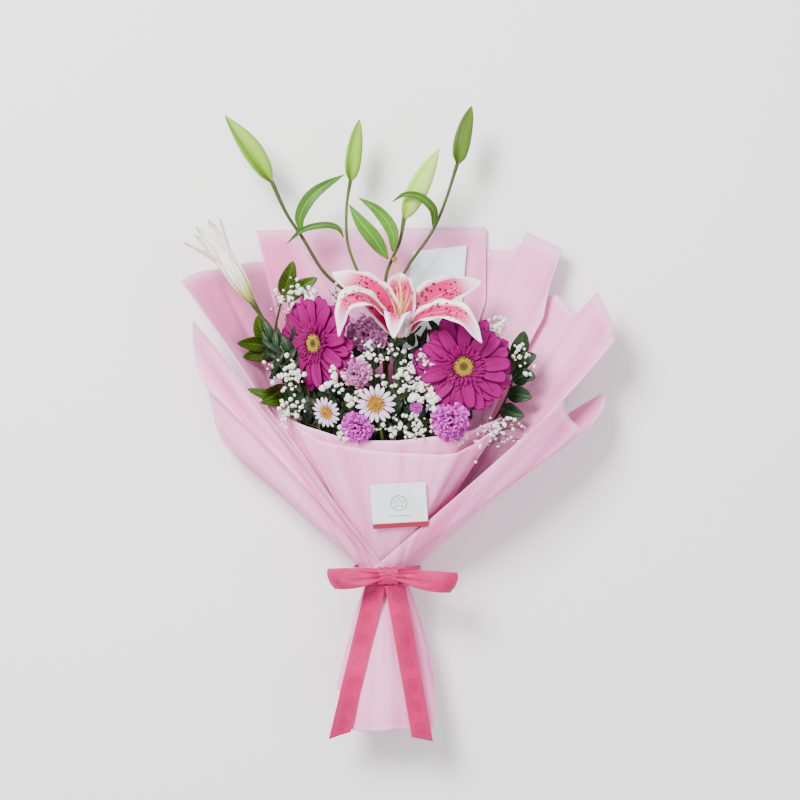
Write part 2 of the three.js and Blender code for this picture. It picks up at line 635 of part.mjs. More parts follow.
addPiece(gerberas, 'gerbera_stem_right', [stem([6.3, 1.8], 2.6, [30, 110, 70], [64, 203, 92],
  [70, 226, 110])], stemGreen);
addPiece(gerberas, 'gerbera_stem_left', [stem([-6.2, -4.5], 2.6, [-40, 120, 48], [-72, 225, 66],
  [-86, 251, 88])], stemGreen);
addPiece(fillers, 'carnation_spray_left', [
  stem([-4, 9], 2, [-22, 90, 74], [-38, 140, 92], [-42, 163, 112]),
  branch(1.4, [-30, 110, 82], [-34, 170, 96], [-43, 205, 104], [-43, 219, 110]),
  branch(1.4, [-34, 130, 88], [-28, 200, 86], [-32, 240, 84], [-33, 262, 88]),
], stemGreen);
addPiece(fillers, 'carnation_spray_right', [
  stem([6.5, 8.5], 2, [22, 90, 80], [48, 140, 100], [56, 168, 116]),
  branch(1.4, [14, 70, 74], [16, 130, 96], [20, 165, 110], [20, 183, 118]),
  branch(1.4, [26, 100, 84], [24, 160, 88], [20, 200, 88], [20, 222, 92]),
], stemGreen);
addPiece(fillers, 'daisy_spray', [
  stem([0.8, 6.5], 1.8, [-8, 90, 80], [-16, 150, 104], [-22.6, 184, 124]),
  branch(1.3, [-9, 94, 81], [-50, 140, 92], [-70, 168, 100], [-75, 177, 109]),
], stemGreen);

// ---------- leaves ----------

// A leaf follows its midrib, widest before the middle, folded a little along it.
function leaf(points, width, rows = 6) {
  const curve = new THREE.CatmullRomCurve3(points.map((point) => at(...point)));
  return bentSlab((u, v) => {
    const s = 2 * u - 1;
    const half = (width / 2) * (0.12 + 0.88 * Math.sin(Math.PI * Math.pow(v, 0.8)));
    const ahead = curve.getTangent(v);
    const side = ahead.clone().cross(vec(0, 0, 1)).normalize();
    const point = curve.getPoint(v).addScaledVector(side, s * half);
    point.z += 0.25 * Math.abs(s) * half;
    return point;
  }, 2, rows, leafThickness);
}

const lilyLeaves = {
  lily_leaf_upper_left: [[[-103, 370, 66], [-105, 388, 70], [-90, 412, 74], [-56, 434, 72]], 12],
  lily_leaf_narrow: [[[-58, 366, 56], [-64, 376, 62], [-77, 379, 67], [-101, 374, 68], [-121, 358, 62]], 6],
  lily_leaf_broad: [[[-10, 342, 74], [-24, 362, 80], [-40, 382, 80], [-52, 401, 76]], 15],
  lily_leaf_tall: [[[-5, 350, 76], [-5, 370, 84], [-20, 392, 84], [-42, 408, 80]], 11],
  lily_leaf_arching: [[[39, 376, 60], [39, 394, 80], [25, 407, 92], [8.6, 410, 92], [-6.5, 402, 84]], 8],
};
for (const [name, [points, width]] of Object.entries(lilyLeaves)) {
  addPiece(lilies, name, [leaf(points, width)], 0x6eaa3c, 0.6);
}

function foliage(slot, spine, leaves, width) {
  return [stem(slot, 2, ...spine), ...leaves.map((points) => leaf(points, width, 4))];
}

addPiece(fillers, 'foliage_left', foliage([-10.6, -7.4],
  [[-64, 110, 28], [-116, 200, 26], [-134, 252, 30], [-124, 308, 48]], [
    [[-125, 304, 46], [-118, 320, 62], [-112, 338, 72]],
    [[-127, 300, 44], [-108, 310, 62], [-88, 320, 68]],
    [[-134, 246, 29], [-150, 250, 58], [-172, 251, 84]],
    [[-133, 238, 28], [-146, 240, 52], [-166, 236, 78]],
    [[-134, 256, 30], [-147, 264, 44], [-152, 280, 50]],
    [[-117, 202, 26], [-140, 196, 98], [-160, 202, 108]],
    [[-115, 197, 26], [-129, 190, 90], [-146, 187, 108]],
  ], 15), 0x55781e, 0.6);
addPiece(fillers, 'foliage_right', foliage([9.5, -3.8],
  [[60, 110, 50], [106, 170, 68], [124, 210, 76], [126, 240, 80]], [
    [[126, 236, 80], [132, 248, 88], [136, 262, 92]],
    [[125, 226, 78], [138, 234, 90], [147, 238, 94]],
    [[124, 212, 76], [138, 216, 88], [146, 214, 92]],
    [[119, 196, 72], [132, 196, 84], [142, 192, 90]],
    [[124, 218, 76], [116, 232, 88], [114, 250, 92]],
    [[112, 182, 70], [124, 176, 84], [134, 172, 90]],
  ], 17), 0x2f4a26, 0.6);

// ---------- baby's breath ----------

// A spray fills an oval patch with small flowers on thin twigs that meet at its hub.
function spray(slot, hub, centre, half, count) {
  const golden = Math.PI * (3 - Math.sqrt(5));
  const parts = [stem(slot, 1.5, ...hub)];
  const root = hub.at(-1);
  for (let i = 0; i < count; i += 1) {
    const turn = i * golden;
    const reach = Math.sqrt((i + 0.5) / count);
    const x = centre[0] + half[0] * reach * Math.cos(turn);
    const t = centre[1] + half[1] * reach * Math.sin(turn);
    const z = centre[2] + half[2] * (1 - reach * reach) + 4 * Math.sin(5 * i);
    const [fx, fy, fz] = at(x, t, z).toArray();
    parts.push(new THREE.OctahedronGeometry(blossomRadius).translate(fx, fy, fz));
    parts.push(rod([at(...root), at(...root.map((value, k) => lerp(value, [x, t, z][k], 0.55))),
      at(x, t, z)], 0.6, 3, 2));
  }
  return parts;
}

addPiece(fillers, 'gypsophila_left', spray([-6.8, 4], [[-50, 100, 66], [-84, 160, 84]],
  [-104, 226, 100], [30, 78, 12], 8), 0xeeeee8, 0.8);
addPiece(fillers, 'gypsophila_centre', spray([-1.2, 2.2], [[-6, 90, 62], [-4, 140, 84]],
  [2, 196, 118], [60, 58, 8], 9), 0xeeeee8, 0.8);
addPiece(fillers, 'gypsophila_right', spray([11.3, 4.3], [[54, 100, 72], [88, 150, 92]],
  [104, 210, 100], [32, 70, 10], 8), 0xeeeee8, 0.8);

// ---------- origin at the middle of the footprint, on the resting surface ----------
bouquet.updateMatrixWorld(true);
const extent = new THREE.Box3().setFromObject(bouquet, true);
const centre = extent.getCenter(vec(0, 0, 0));
bouquet.position.set(-centre.x, -centre.y, -extent.min.z);

export default bouquet;
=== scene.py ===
import math

import bmesh
import bpy
import numpy as np
from mathutils import Matrix, Vector, noise


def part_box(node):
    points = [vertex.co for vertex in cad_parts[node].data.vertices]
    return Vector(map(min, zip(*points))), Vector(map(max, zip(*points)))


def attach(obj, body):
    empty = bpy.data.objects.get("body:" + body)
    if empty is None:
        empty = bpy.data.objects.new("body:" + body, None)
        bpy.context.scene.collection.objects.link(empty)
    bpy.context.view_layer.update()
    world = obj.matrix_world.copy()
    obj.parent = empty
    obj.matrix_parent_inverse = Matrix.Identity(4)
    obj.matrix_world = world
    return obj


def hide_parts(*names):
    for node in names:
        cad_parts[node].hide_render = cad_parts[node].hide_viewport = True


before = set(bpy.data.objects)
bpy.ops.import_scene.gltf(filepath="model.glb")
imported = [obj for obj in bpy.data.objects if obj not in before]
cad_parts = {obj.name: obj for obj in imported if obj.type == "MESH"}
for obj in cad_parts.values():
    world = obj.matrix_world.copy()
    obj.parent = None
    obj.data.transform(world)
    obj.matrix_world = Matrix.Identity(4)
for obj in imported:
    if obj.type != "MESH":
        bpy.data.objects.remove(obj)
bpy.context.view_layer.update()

# ---------- Where the bunch lies ----------
# The bunch lies on its back with the flower heads toward +Y and their faces up. Every place
# below is (x across, t from the ribbon tie toward the heads, z above the table), in millimetres.

tie_low, tie_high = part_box("ribbon_band")
tie_centre = (tie_low + tie_high) / 2
neck_x, neck_z = -11.0, 38.4
origin = tie_centre - Vector((neck_x, 0, neck_z)) / 1000


def at(x, t, z):
    return origin + Vector((x, t, z)) / 1000


def smooth(value, low, high):
    share = min(max((value - low) / (high - low), 0.0), 1.0)
    return share * share * (3 - 2 * share)


def mix(a, b, share):
    return a + (b - a) * share


def through(points, share):
    """A smooth curve through evenly spaced points, read at a share of its length."""
    last = len(points) - 1
    s = min(max(share, 0.0), 1.0) * last
    i = min(int(s), last - 1)
    f = s - i
    a, b = points[i], points[i + 1]
    before = points[i - 1] if i > 0 else a + (a - b)
    after = points[i + 2] if i + 2 <= last else b + (b - a)
    slope_a, slope_b = (b - before) / 2, (after - a) / 2
    return (a * (2 * f**3 - 3 * f**2 + 1) + slope_a * (f**3 - 2 * f**2 + f)
            + b * (3 * f**2 - 2 * f**3) + slope_b * (f**3 - f**2))


# ---------- Camera, table and light ----------
# The camera hangs over the bunch and looks straight down at the faces of the flowers. The table
# is plain and pale, under one large soft light and an even white room.

camera = bpy.data.objects.new("camera", bpy.data.cameras.new("camera"))
bpy.context.scene.collection.objects.link(camera)
camera.data.lens = 110
camera.data.sensor_width = 36
field_width = 0.860
camera_height = field_width * camera.data.lens / camera.data.sensor_width
camera.location = at(3, 190, 80) + Vector((0, 0, camera_height))
bpy.context.scene.camera = camera

table = bpy.data.objects.new("table", bpy.data.meshes.new("table"))
bpy.context.scene.collection.objects.link(table)
table_half, table_top = 6.0, -0.0006
table.data.from_pydata([(-table_half, -table_half, table_top), (table_half, -table_half, table_top),
                        (table_half, table_half, table_top), (-table_half, table_half, table_top)],
                       [], [(0, 1, 2, 3)])

table_paint = bpy.data.materials.new("table_paint")
table_paint.use_nodes = True
table_shader = table_paint.node_tree.nodes["Principled BSDF"]
table_shader.inputs["Base Color"].default_value = (0.93, 0.93, 0.93, 1)
table_shader.inputs["Roughness"].default_value = 0.9
table.data.materials.append(table_paint)

world = bpy.data.worlds.new("room")
world.use_nodes = True
world.node_tree.nodes["Background"].inputs["Color"].default_value = (1, 1, 1, 1)
world.node_tree.nodes["Background"].inputs["Strength"].default_value = 0.85
bpy.context.scene.world = world


def area_light(name, place, aim, size, watts):
    light = bpy.data.objects.new(name, bpy.data.lights.new(name, "AREA"))
    bpy.context.scene.collection.objects.link(light)
    light.data.size = size
    light.data.energy = watts
    light.location = place
    light.rotation_euler = (aim - place).to_track_quat("-Z", "Y").to_euler()


middle = at(0, 150, 60)
area_light("key_light", middle + Vector((-0.9, 1.1, 2.0)), middle, 0.9, 125)
area_light("fill_light", middle + Vector((1.3, -0.6, 1.8)), middle, 1.8, 22)

# ---------- Wrapping paper ----------
# Nine sheets and folds of matt pink wrapping film, and one white sheet, shaped by hand into a fan.
# The pink ones are gathered round the stems at the tie and open toward the flowers.

paper_pitch = 1.5           # sheet to sheet where the tie gathers them
inner_paper_radius = 19.0
band_half = 9.0
paper_thickness = 0.45


def neck_point(degrees, radius, t):
    turn = math.radians(degrees)
    return Vector((neck_x + radius * math.sin(turn), t, neck_z + radius * math.cos(turn)))


def fan_surface(layer, ribs, neck_share=1 / 6):
    """A sheet that runs straight through the tie, then opens out along its ribs, each
    (neck angle, rim x, rim t, rim z, bulge x, bulge z)."""
    radius = inner_paper_radius + paper_pitch * layer
    rows = [list(rib) + [0] * (6 - len(rib)) for rib in ribs]
    last = len(rows) - 1

    def surface(u, v):
        i = min(int(u * last), last - 1)
        f = u * last - i
        angle, x, t, z_flat, bulge_x, _ = [mix(a, b, f) for a, b in zip(rows[i], rows[i + 1])]
        if v <= neck_share:
            return neck_point(angle, radius, mix(1 - band_half, band_half, v / neck_share))
        out = (v - neck_share) / (1 - neck_share)
        rim_z = mix(z_flat, through([row[3] for row in rows], u), 0.8)
        swell = 4 * out * (1 - out)
        point = neck_point(angle, radius, band_half).lerp(Vector((x, t, rim_z)), out)
        point.x += swell * bulge_x
        point.z += swell * through([row[5] for row in rows], u)
        return point

    return surface


def sheet_mesh(name, surface, columns, rows, relief=None):
    """A grid over the surface, with `relief(u, v, point)` millimetres of shape along its normal
    and the flat sheet's own u, v as its UV map."""
    us, vs = np.linspace(0, 1, columns + 1), np.linspace(0, 1, rows + 1)
    points = np.array([[surface(u, v) for u in us] for v in vs])
    if relief:
        normal = np.cross(np.gradient(points, axis=1), np.gradient(points, axis=0))
        normal /= np.linalg.norm(normal, axis=2, keepdims=True) + 1e-9
        depth = np.array([[relief(u, v, points[j, i]) for i, u in enumerate(us)]
                          for j, v in enumerate(vs)])
        points = points + normal * depth[:, :, None]
    mesh = bpy.data.meshes.new(name)
    wide = columns + 1
    faces = [(j * wide + i, j * wide + i + 1, (j + 1) * wide + i + 1, (j + 1) * wide + i)
             for j in range(rows) for i in range(columns)]
    places = points.reshape(-1, 3) / 1000 + np.array(origin)
    mesh.from_pydata(places.tolist(), [], faces)
    flat_map = mesh.uv_layers.new(name="flat")
    grid = [(u, v) for v in vs for u in us]
    corners = np.zeros(len(mesh.loops), dtype=np.int32)
    mesh.loops.foreach_get("vertex_index", corners)
    flat_map.data.foreach_set("uv", np.array([grid[k] for k in corners]).ravel())
    mesh.polygons.foreach_set("use_smooth", [True] * len(mesh.polygons))
    piece = bpy.data.objects.new(name, mesh)
    bpy.context.scene.collection.objects.link(piece)
    return piece, points


def thicken(piece, thickness):
    wall = piece.modifiers.new("thickness", "SOLIDIFY")
    wall.thickness = thickness / 1000
    wall.offset = 0


def finish_piece(piece, material, slot_name, *nodes):
    if material:
        piece.data.materials.append(material)
    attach(piece, "root")
    if nodes:
        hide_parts(*nodes)
    return piece


def declare_sheet(piece, points):
    """Works out the directions along the sheet's columns, its steps across them and its longest column, and
    keeps none of them.
    """
    points = np.array(points, dtype=float)
    runs = np.gradient(points, axis=0)
    runs = runs[:, :-1] + runs[:, 1:]
    runs /= np.maximum(np.linalg.norm(runs, axis=2, keepdims=True), 1e-9)
    steps = np.diff(points, axis=1)
    length = np.linalg.norm(np.diff(points, axis=0), axis=2).sum(axis=0).max()


def node(tree, kind, settings=None, **inputs):
    """Adds a node, sets its options and its inputs; an input that is a socket is linked."""
    made = tree.nodes.new(kind)
    for key, value in (settings or {}).items():
        setattr(made, key, value)
    for key, value in inputs.items():
        socket = made.inputs[int(key[1:])] if key[0] == "_" and key[1:].isdigit() else \
            made.inputs[key.replace("_", " ")]
        if isinstance(value, bpy.types.NodeSocket):
            tree.links.new(value, socket)
        else:
            socket.default_value = value
    return made


def calc(tree, operation, a, b=0.0, c=0.0):
    return node(tree, "ShaderNodeMath", {"operation": operation}, _0=a, _1=b, _2=c).outputs[0]


def blend_colour(tree, share, a, b, kind="MIX"):
    made = tree.nodes.new("ShaderNodeMix")
    made.data_type = "RGBA"
    made.blend_type = kind
    for socket, value in ((made.inputs[0], share), (made.inputs[6], a), (made.inputs[7], b)):
        if isinstance(value, bpy.types.NodeSocket):
            tree.links.new(value, socket)
        else:
            socket.default_value = value
    return made.outputs[2]


def linear(red, green, blue):
    """A screen colour of 0 to 255 as the shader's linear colour."""
    def one(value):
        value /= 255
        return value / 12.92 if value <= 0.04045 else ((value + 0.055) / 1.055) ** 2.4
    return (one(red), one(green), one(blue), 1)


def ramp(tree, share, *stops):
    made = tree.nodes.new("ShaderNodeValToRGB")
    tree.links.new(share, made.inputs[0])
    elements = made.color_ramp.elements
    while len(elements) < len(stops):
        elements.new(1.0)
    for element, (position, colour) in zip(elements, stops):
        element.position = position
        element.color = colour
    return made.outputs[0]


def effect_group(name, inputs, outputs):
    group = bpy.data.node_groups.new(name, "ShaderNodeTree")
    for label, kind, value in inputs:
        socket = group.interface.new_socket(label, in_out="INPUT", socket_type=kind)
        if value is not None:
            socket.default_value = value
    for label, kind in outputs:
        group.interface.new_socket(label, in_out="OUTPUT", socket_type=kind)
    entry = group.nodes.new("NodeGroupInput").outputs
    leave = group.nodes.new("NodeGroupOutput").inputs
    return group, entry, leave


# Soft cloudiness of a colour, as in film, petals and leaves.
mottle, entry, leave = effect_group(
    "mottle", [("Light", "NodeSocketColor", None), ("Dark", "NodeSocketColor", None),
               ("Scale", "NodeSocketFloat", 20.0), ("Amount", "NodeSocketFloat", 0.5)],
    [("Colour", "NodeSocketColor")])
place = node(mottle, "ShaderNodeTexCoord").outputs["Object"]
cloud = node(mottle, "ShaderNodeTexNoise", Vector=place, Scale=entry["Scale"], Detail=4.0).outputs[0]
cloud_share = calc(mottle, "MULTIPLY", calc(mottle, "SUBTRACT", cloud, 0.3), 2.2)
cloud_share = node(mottle, "ShaderNodeClamp", Value=cloud_share).outputs[0]
cloud_share = calc(mottle, "MULTIPLY", cloud_share, entry["Amount"])
mottle.links.new(blend_colour(mottle, cloud_share, entry["Light"], entry["Dark"]), leave["Colour"])

# Distance from the nearest edge of a sheet, as a 0 to 1 mask that is 1 at the edge.
edge_band, entry, leave = effect_group(
    "edge_band", [("Width", "NodeSocketFloat", 0.05)], [("Mask", "NodeSocketFloat")])
flat_uv = node(edge_band, "ShaderNodeUVMap", {"uv_map": "flat"}).outputs[0]
split = node(edge_band, "ShaderNodeSeparateXYZ", _0=flat_uv).outputs
from_side = calc(edge_band, "MINIMUM", split[0], calc(edge_band, "SUBTRACT", 1.0, split[0]))
from_edge = calc(edge_band, "MINIMUM", from_side, calc(edge_band, "SUBTRACT", 1.0, split[1]))
near = calc(edge_band, "DIVIDE", from_edge, entry["Width"])
near = node(edge_band, "ShaderNodeClamp", Value=near).outputs[0]
edge_band.links.new(calc(edge_band, "SUBTRACT", 1.0, near), leave["Mask"])


def use_group(tree, group, **inputs):
    made = tree.nodes.new("ShaderNodeGroup")
    made.node_tree = group
    for key, value in inputs.items():
        if isinstance(value, bpy.types.NodeSocket):
            tree.links.new(value, made.inputs[key])
        else:
            made.inputs[key].default_value = value
    return made.outputs


def new_material(name, roughness, **constants):
    material = bpy.data.materials.new(name)
    material.use_nodes = True
    shader = material.node_tree.nodes["Principled BSDF"]
    shader.inputs["Roughness"].default_value = roughness
    for key, value in constants.items():
        shader.inputs[key.replace("_", " ")].default_value = value
    return material, material.node_tree, shader


def relief_of(tree, shader, height, distance, strength=0.6):
    bump = node(tree, "ShaderNodeBump", Height=height, Strength=strength, Distance=distance)
    tree.links.new(bump.outputs[0], shader.inputs["Normal"])


def film(name, light, deep, edge):
    """Matt wrapping film: soft folds fan out from the tie, with painted shade in their hollows, and the cut
    edge is paler.
    """
    material, tree, shader = new_material(name, 0.52, Specular_IOR_Level=0.2)
    cloudy = use_group(tree, mottle, Light=light, Dark=deep, Scale=5.0, Amount=0.55)
    mask = use_group(tree, edge_band, Width=0.035)["Mask"]
    rim = calc(tree, "MULTIPLY", mask, 0.45)
    place = node(tree, "ShaderNodeTexCoord").outputs["Object"]
    from_tie = node(tree, "ShaderNodeSeparateXYZ",
                    _0=node(tree, "ShaderNodeVectorMath", {"operation": "SUBTRACT"}, _0=place,
                            _1=origin + Vector((neck_x / 1000, 0, 0))).outputs[0]).outputs
    far = calc(tree, "ADD", calc(tree, "ABSOLUTE", from_tie[1]), 0.04)
    fan = node(tree, "ShaderNodeCombineXYZ", X=calc(tree, "DIVIDE", from_tie[0], far), Y=far,
               Z=from_tie[2])
    fan_place = node(tree, "ShaderNodeMapping", Vector=fan.outputs[0])
    fan_place.inputs["Scale"].default_value = (8, 5, 14)
    folds = node(tree, "ShaderNodeTexNoise", Vector=fan_place.outputs[0], Scale=1.0,
                 Detail=2.0).outputs[0]
    # Painted shade: the colour darkens in the hollows of the fan of folds that also shapes the bump.
    painted_fold_shade = node(tree, "ShaderNodeMapRange", {"interpolation_type": "SMOOTHSTEP"}, Value=folds,
                  From_Min=0.4, From_Max=0.66).outputs[0]
    shaded = blend_colour(tree, calc(tree, "MULTIPLY", painted_fold_shade, 0.6), cloudy["Colour"], deep)
    tree.links.new(blend_colour(tree, rim, shaded, edge), shader.inputs["Base Color"])
    crinkle = node(tree, "ShaderNodeTexNoise", Vector=place, Scale=38.0, Detail=3.0).outputs[0]
    grain = node(tree, "ShaderNodeTexNoise", Vector=place, Scale=900.0, Detail=2.0).outputs[0]
    height = calc(tree, "MULTIPLY_ADD", grain, 0.08, crinkle)
    height = calc(tree, "MULTIPLY_ADD", folds, -7.0, height)
    relief_of(tree, shader, height, 0.0012, 0.35)
    return material


film_pink = film("film_pink", linear(251, 174, 220), linear(226, 96, 162), linear(252, 218, 242))
film_white = film("film_white", linear(238, 248, 252), linear(204, 236, 248), linear(250, 252, 252))

# name: layer at the neck, ribs from one side edge to the other
wrap_sheets = {
    "wrap_back": (3, [(-130, -130, 270, 16, 0, 3), (-145, -156, 377, 10, 0, 3),
                      (-160, -80, 379, 6, 0, 3), (-180, 20, 380, 6, 0, 3),
                      (-195, 98, 381, 7, 0, 3), (-210, 98, 300, 9, 0, 3)]),
    "wrap_left_inner": (5, [(-170, -60, 320, 2.2, 0, -3), (-155, -120, 340, 4, 0, -3),
                            (-135, -157, 343, 9, 0, -5), (-110, -197, 333, 40, -5, 0),
                            (-85, -216, 328, 70, 0, 6), (-70, -231, 318, 95, 8, 20)]),
    "wrap_right_back": (6, [(170, 40, 345, 4, 0, -2), (160, 98, 356, 4, 0, -2),
                            (150, 127, 355, 8), (146, 138, 362, 12), (142, 143, 375, 14),
                            (130, 181, 356, 30), (118, 167, 316, 38), (112, 160, 280, 42)]),
    "wrap_right_inner": (7, [(150, 110, 300, 2, 0, -2), (135, 150, 300, 14), (120, 175, 305, 32),
                             (110, 197, 283, 46), (104, 218, 307, 56), (96, 231, 278, 72, 0, 5),
                             (60, 235, 255, 80, 0, 20)]),
    "wrap_front_liner": (2, [(-75, -145, 188, 70, 0, 10), (-60, -120, 172, 85, 0, 10),
                             (-45, -97, 162, 98, 0, 10), (-30, -60, 150, 108, 0, 10),
                             (-15, -33, 147, 112, 0, 10), (0, 0, 147, 114, 0, 10),
                             (20, 46, 152, 112, 0, 10), (35, 64, 155, 108, 0, 10),
                             (50, 82, 158, 102, 0, 10), (65, 112, 172, 88, 0, 8)]),
    "wrap_front_panel": (4, [(-52, -109, 162, 96, 0, 15), (-40, -83, 147, 106, 0, 15),
                             (-25, -56, 141, 112, 0, 15), (-10, -29, 137, 116, 0, 15),
                             (5, 3, 134, 118, 0, 15), (22, 46, 132, 117, 0, 15),
                             (35, 62, 134, 114, 0, 15), (45, 80, 142, 108, 0, 15),
                             (55, 109, 163, 97, 0, 13)]),
    "wrap_left_outer": (8, [(-10, -150, 200, 76, 0, 14), (-25, -206, 206, 50, 0, 10),
                            (-40, -197, 163, 47, 0, 8), (-60, -188, 142, 43, 0, 6),
                            (-75, -171, 123, 38, 6, 0), (-95, -165, 118, 25),
                            (-115, -140, 130, 10), (-135, -100, 150, 1.5)]),
    "wrap_left_band": (9, [(-3, -176, 222, 90, 0, 28), (-10, -187, 238, 88, 0, 26),
                           (-13, -203, 257, 80, 0, 24), (-15, -221, 276, 68, 0, 22),
                           (-17, -220, 249, 60, 0, 20), (-18, -218, 228, 60, 0, 19),
                           (-19, -212, 214, 63, 4, 20), (-20, -205, 201, 66, 8, 22)]),
    "wrap_right_front": (10, [(-25, 178, 190, 93, 0, 30), (-15, 179, 180, 90, 0, 30),
                              (-5, 186, 169, 86, 0, 28), (10, 200, 158, 78, 0, 25),
                              (30, 215, 167, 66, 0, 18), (60, 225, 185, 50, 0, 8),
                              (90, 227, 199, 36), (120, 205, 184, 18), (140, 186, 170, 8),
                              (165, 150, 160, 1.5)]),
}


def crumple(seed, pleats, depth):
    """Long soft pleats that start at the tie, and a few crumples across the open sheet."""
    shift = Vector((seed * 7.3, seed * 3.1, seed * 1.7))

    def relief(u, v, point):
        open_share = smooth(v, 0.22, 0.8)
        wave = math.sin(2 * math.pi * (pleats * u + 0.13 * seed) + 1.5 * math.sin(9 * u + seed))
        soft = noise.noise(Vector(point) / 75 + shift)
        fine = noise.noise(Vector(point) / 24 + shift)
        return open_share * (depth * 0.5 * wave + depth * 1.4 * soft + depth * 0.25 * fine)

    return relief


for number, (name, (layer, ribs)) in enumerate(wrap_sheets.items()):
    columns = 10 * (len(ribs) - 1)
    piece, points = sheet_mesh(name + "_paper", fan_surface(layer, ribs), columns, 54,
                               crumple(number + 1, 3.2, 1.6))
    thicken(piece, paper_thickness)
    finish_piece(piece, film_pink, "paper_pink", name)
    declare_sheet(piece, points)

white_corners = [Vector((-25, 70, 27)), Vector((52, 70, 27)),
                 Vector((17, 354, 11)), Vector((77, 361, 11))]


def white_surface(u, v):
    low = white_corners[0].lerp(white_corners[1], u)
    return low.lerp(white_corners[2].lerp(white_corners[3], u), v)


piece, points = sheet_mesh("wrap_inner_white_paper", white_surface, 24, 60, crumple(21, 1.5, 1.0))
thicken(piece, paper_thickness)
finish_piece(piece, film_white, "paper_white", "wrap_inner_white")
declare_sheet(piece, points)

# ---------- Paper skirt ----------
# The same film, gathered under the tie, covers the cut stems. It is made here as two half skirts,
# which flare to a wavy hem that lies on the table.

hem_half_width, hem_half_height, hem_reach = 59.0, 37.0, 166


def skirt_section(layer, t):
    share = min(max((-t - band_half) / (hem_reach - band_half), 0), 1)
    flare = 0.55 * share + 0.45 * math.sqrt(share)
    extra = paper_pitch * layer
    return (mix(inner_paper_radius, hem_half_width, flare) + extra,
            mix(inner_paper_radius, hem_half_height, flare) + extra,
            mix(neck_z, hem_half_height + 2 * paper_pitch, flare))


def skirt_surface(layer, start, end, hem):
    def surface(u, v):
        angle = mix(start, end, u)
        if v <= 0.2:
            t = mix(band_half - 1, -band_half, v / 0.2)
        else:
            t = mix(-band_half, hem(angle), (v - 0.2) / 0.8)
        half_width, half_height, centre_z = skirt_section(layer, t)
        turn = math.radians(angle)
        return Vector((neck_x + half_width * math.sin(turn), t,
                       centre_z + half_height * math.cos(turn)))
    return surface


def front_hem(angle):
    return mix(-hem_reach, -124, smooth(abs(angle), 50, 80)) + 1.5 * math.sin(angle / 11)


def back_hem(angle):
    return mix(-150, -128, smooth(abs(180 - angle), 50, 90))


def skirt_relief(pleats, depth, shift):
    def relief(u, v, point):
        fall = smooth(v, 0.2, 0.75)
        wave = math.sin(2 * math.pi * pleats * u + shift)
        return -fall * depth * (0.5 + 0.5 * wave) + fall * 1.2 * noise.noise(point / 40)
    return relief


skirt_halves = {
    "skirt_back": (skirt_surface(0, 80, 280, back_hem), skirt_relief(5, 0.8, 0.4)),
    "skirt_front": (skirt_surface(1, -95, 95, front_hem), skirt_relief(6, 2.6, 1.2)),
}
for name, (surface, relief) in skirt_halves.items():
    piece, points = sheet_mesh(name + "_paper", surface, 110, 50, relief)
    thicken(piece, paper_thickness)
    finish_piece(piece, film_pink, "paper_pink", name)
    declare_sheet(piece, points)

# ---------- Satin ribbon ----------
# Satin ribbon, nominally 22 mm wide, goes round the gathered paper and is tied in a flat bow: two
# loops, a knot, and two tails cut on the slant that reach past the hem.

ribbon_width = 22.0
ribbon_thickness = 0.35
knot_half = Vector((10, ribbon_width * 0.42, 5))
band_outer = inner_paper_radius + 10 * paper_pitch + 1.4 + 2
knot_z = neck_z + band_outer + knot_half.z * 0.9

satin, tree, shader = new_material("satin", 0.36, Specular_IOR_Level=0.35, Anisotropic=0.5)
flat_uv = node(tree, "ShaderNodeUVMap", {"uv_map": "flat"}).outputs[0]
split = node(tree, "ShaderNodeSeparateXYZ", _0=flat_uv).outputs
threads = calc(tree, "SINE", calc(tree, "MULTIPLY", split[0], 420.0))
selvedge = calc(tree, "GREATER_THAN", calc(tree, "ABSOLUTE", calc(tree, "SUBTRACT", split[0], 0.5)),
                0.465)
cloudy = use_group(tree, mottle, Light=linear(206, 4, 98), Dark=linear(150, 4, 72),
                   Scale=26.0, Amount=0.8)
edged = blend_colour(tree, calc(tree, "MULTIPLY", selvedge, 0.5), cloudy["Colour"],
                     linear(228, 52, 136))
repeats = 7.0        # printed flowers along each stretch of ribbon
print_pitch = 22.0   # the print's own spacing; it stretches or shortens to fit each stretch
beside = calc(tree, "MULTIPLY", calc(tree, "SUBTRACT", split[0], 0.5), ribbon_width)
ahead = calc(tree, "FRACT", calc(tree, "MULTIPLY", split[1], repeats))
ahead = calc(tree, "MULTIPLY", calc(tree, "SUBTRACT", ahead, 0.5), print_pitch)
from_print = calc(tree, "SQRT", calc(tree, "ADD", calc(tree, "MULTIPLY", beside, beside),
                                     calc(tree, "MULTIPLY", ahead, ahead)))
around = calc(tree, "ARCTAN2", ahead, beside)
outline = calc(tree, "MULTIPLY_ADD", calc(tree, "SINE", calc(tree, "MULTIPLY", around, 5.0)), 0.8, 2.4)
print_mark = calc(tree, "MAXIMUM", calc(tree, "COMPARE", from_print, 5.0, 0.28),
                  calc(tree, "COMPARE", from_print, outline, 0.32))
edged = blend_colour(tree, calc(tree, "MULTIPLY", print_mark, 0.7), edged, linear(112, 8, 62))
tree.links.new(edged, shader.inputs["Base Color"])
relief_of(tree, shader, calc(tree, "MULTIPLY_ADD", selvedge, 2.0, threads), 0.0001, 0.4)


def band_surface(u, v):
    radius = band_outer - 0.8 + 0.35 * math.sin(14 * math.pi * v) ** 2
    return neck_point(360 * v, radius, mix(-band_half, band_half, u))


piece, points = sheet_mesh("ribbon_band_satin", band_surface, 12, 120)
thicken(piece, ribbon_thickness)
finish_piece(piece, satin, "ribbon_satin", "ribbon_band")
declare_sheet(piece, points)


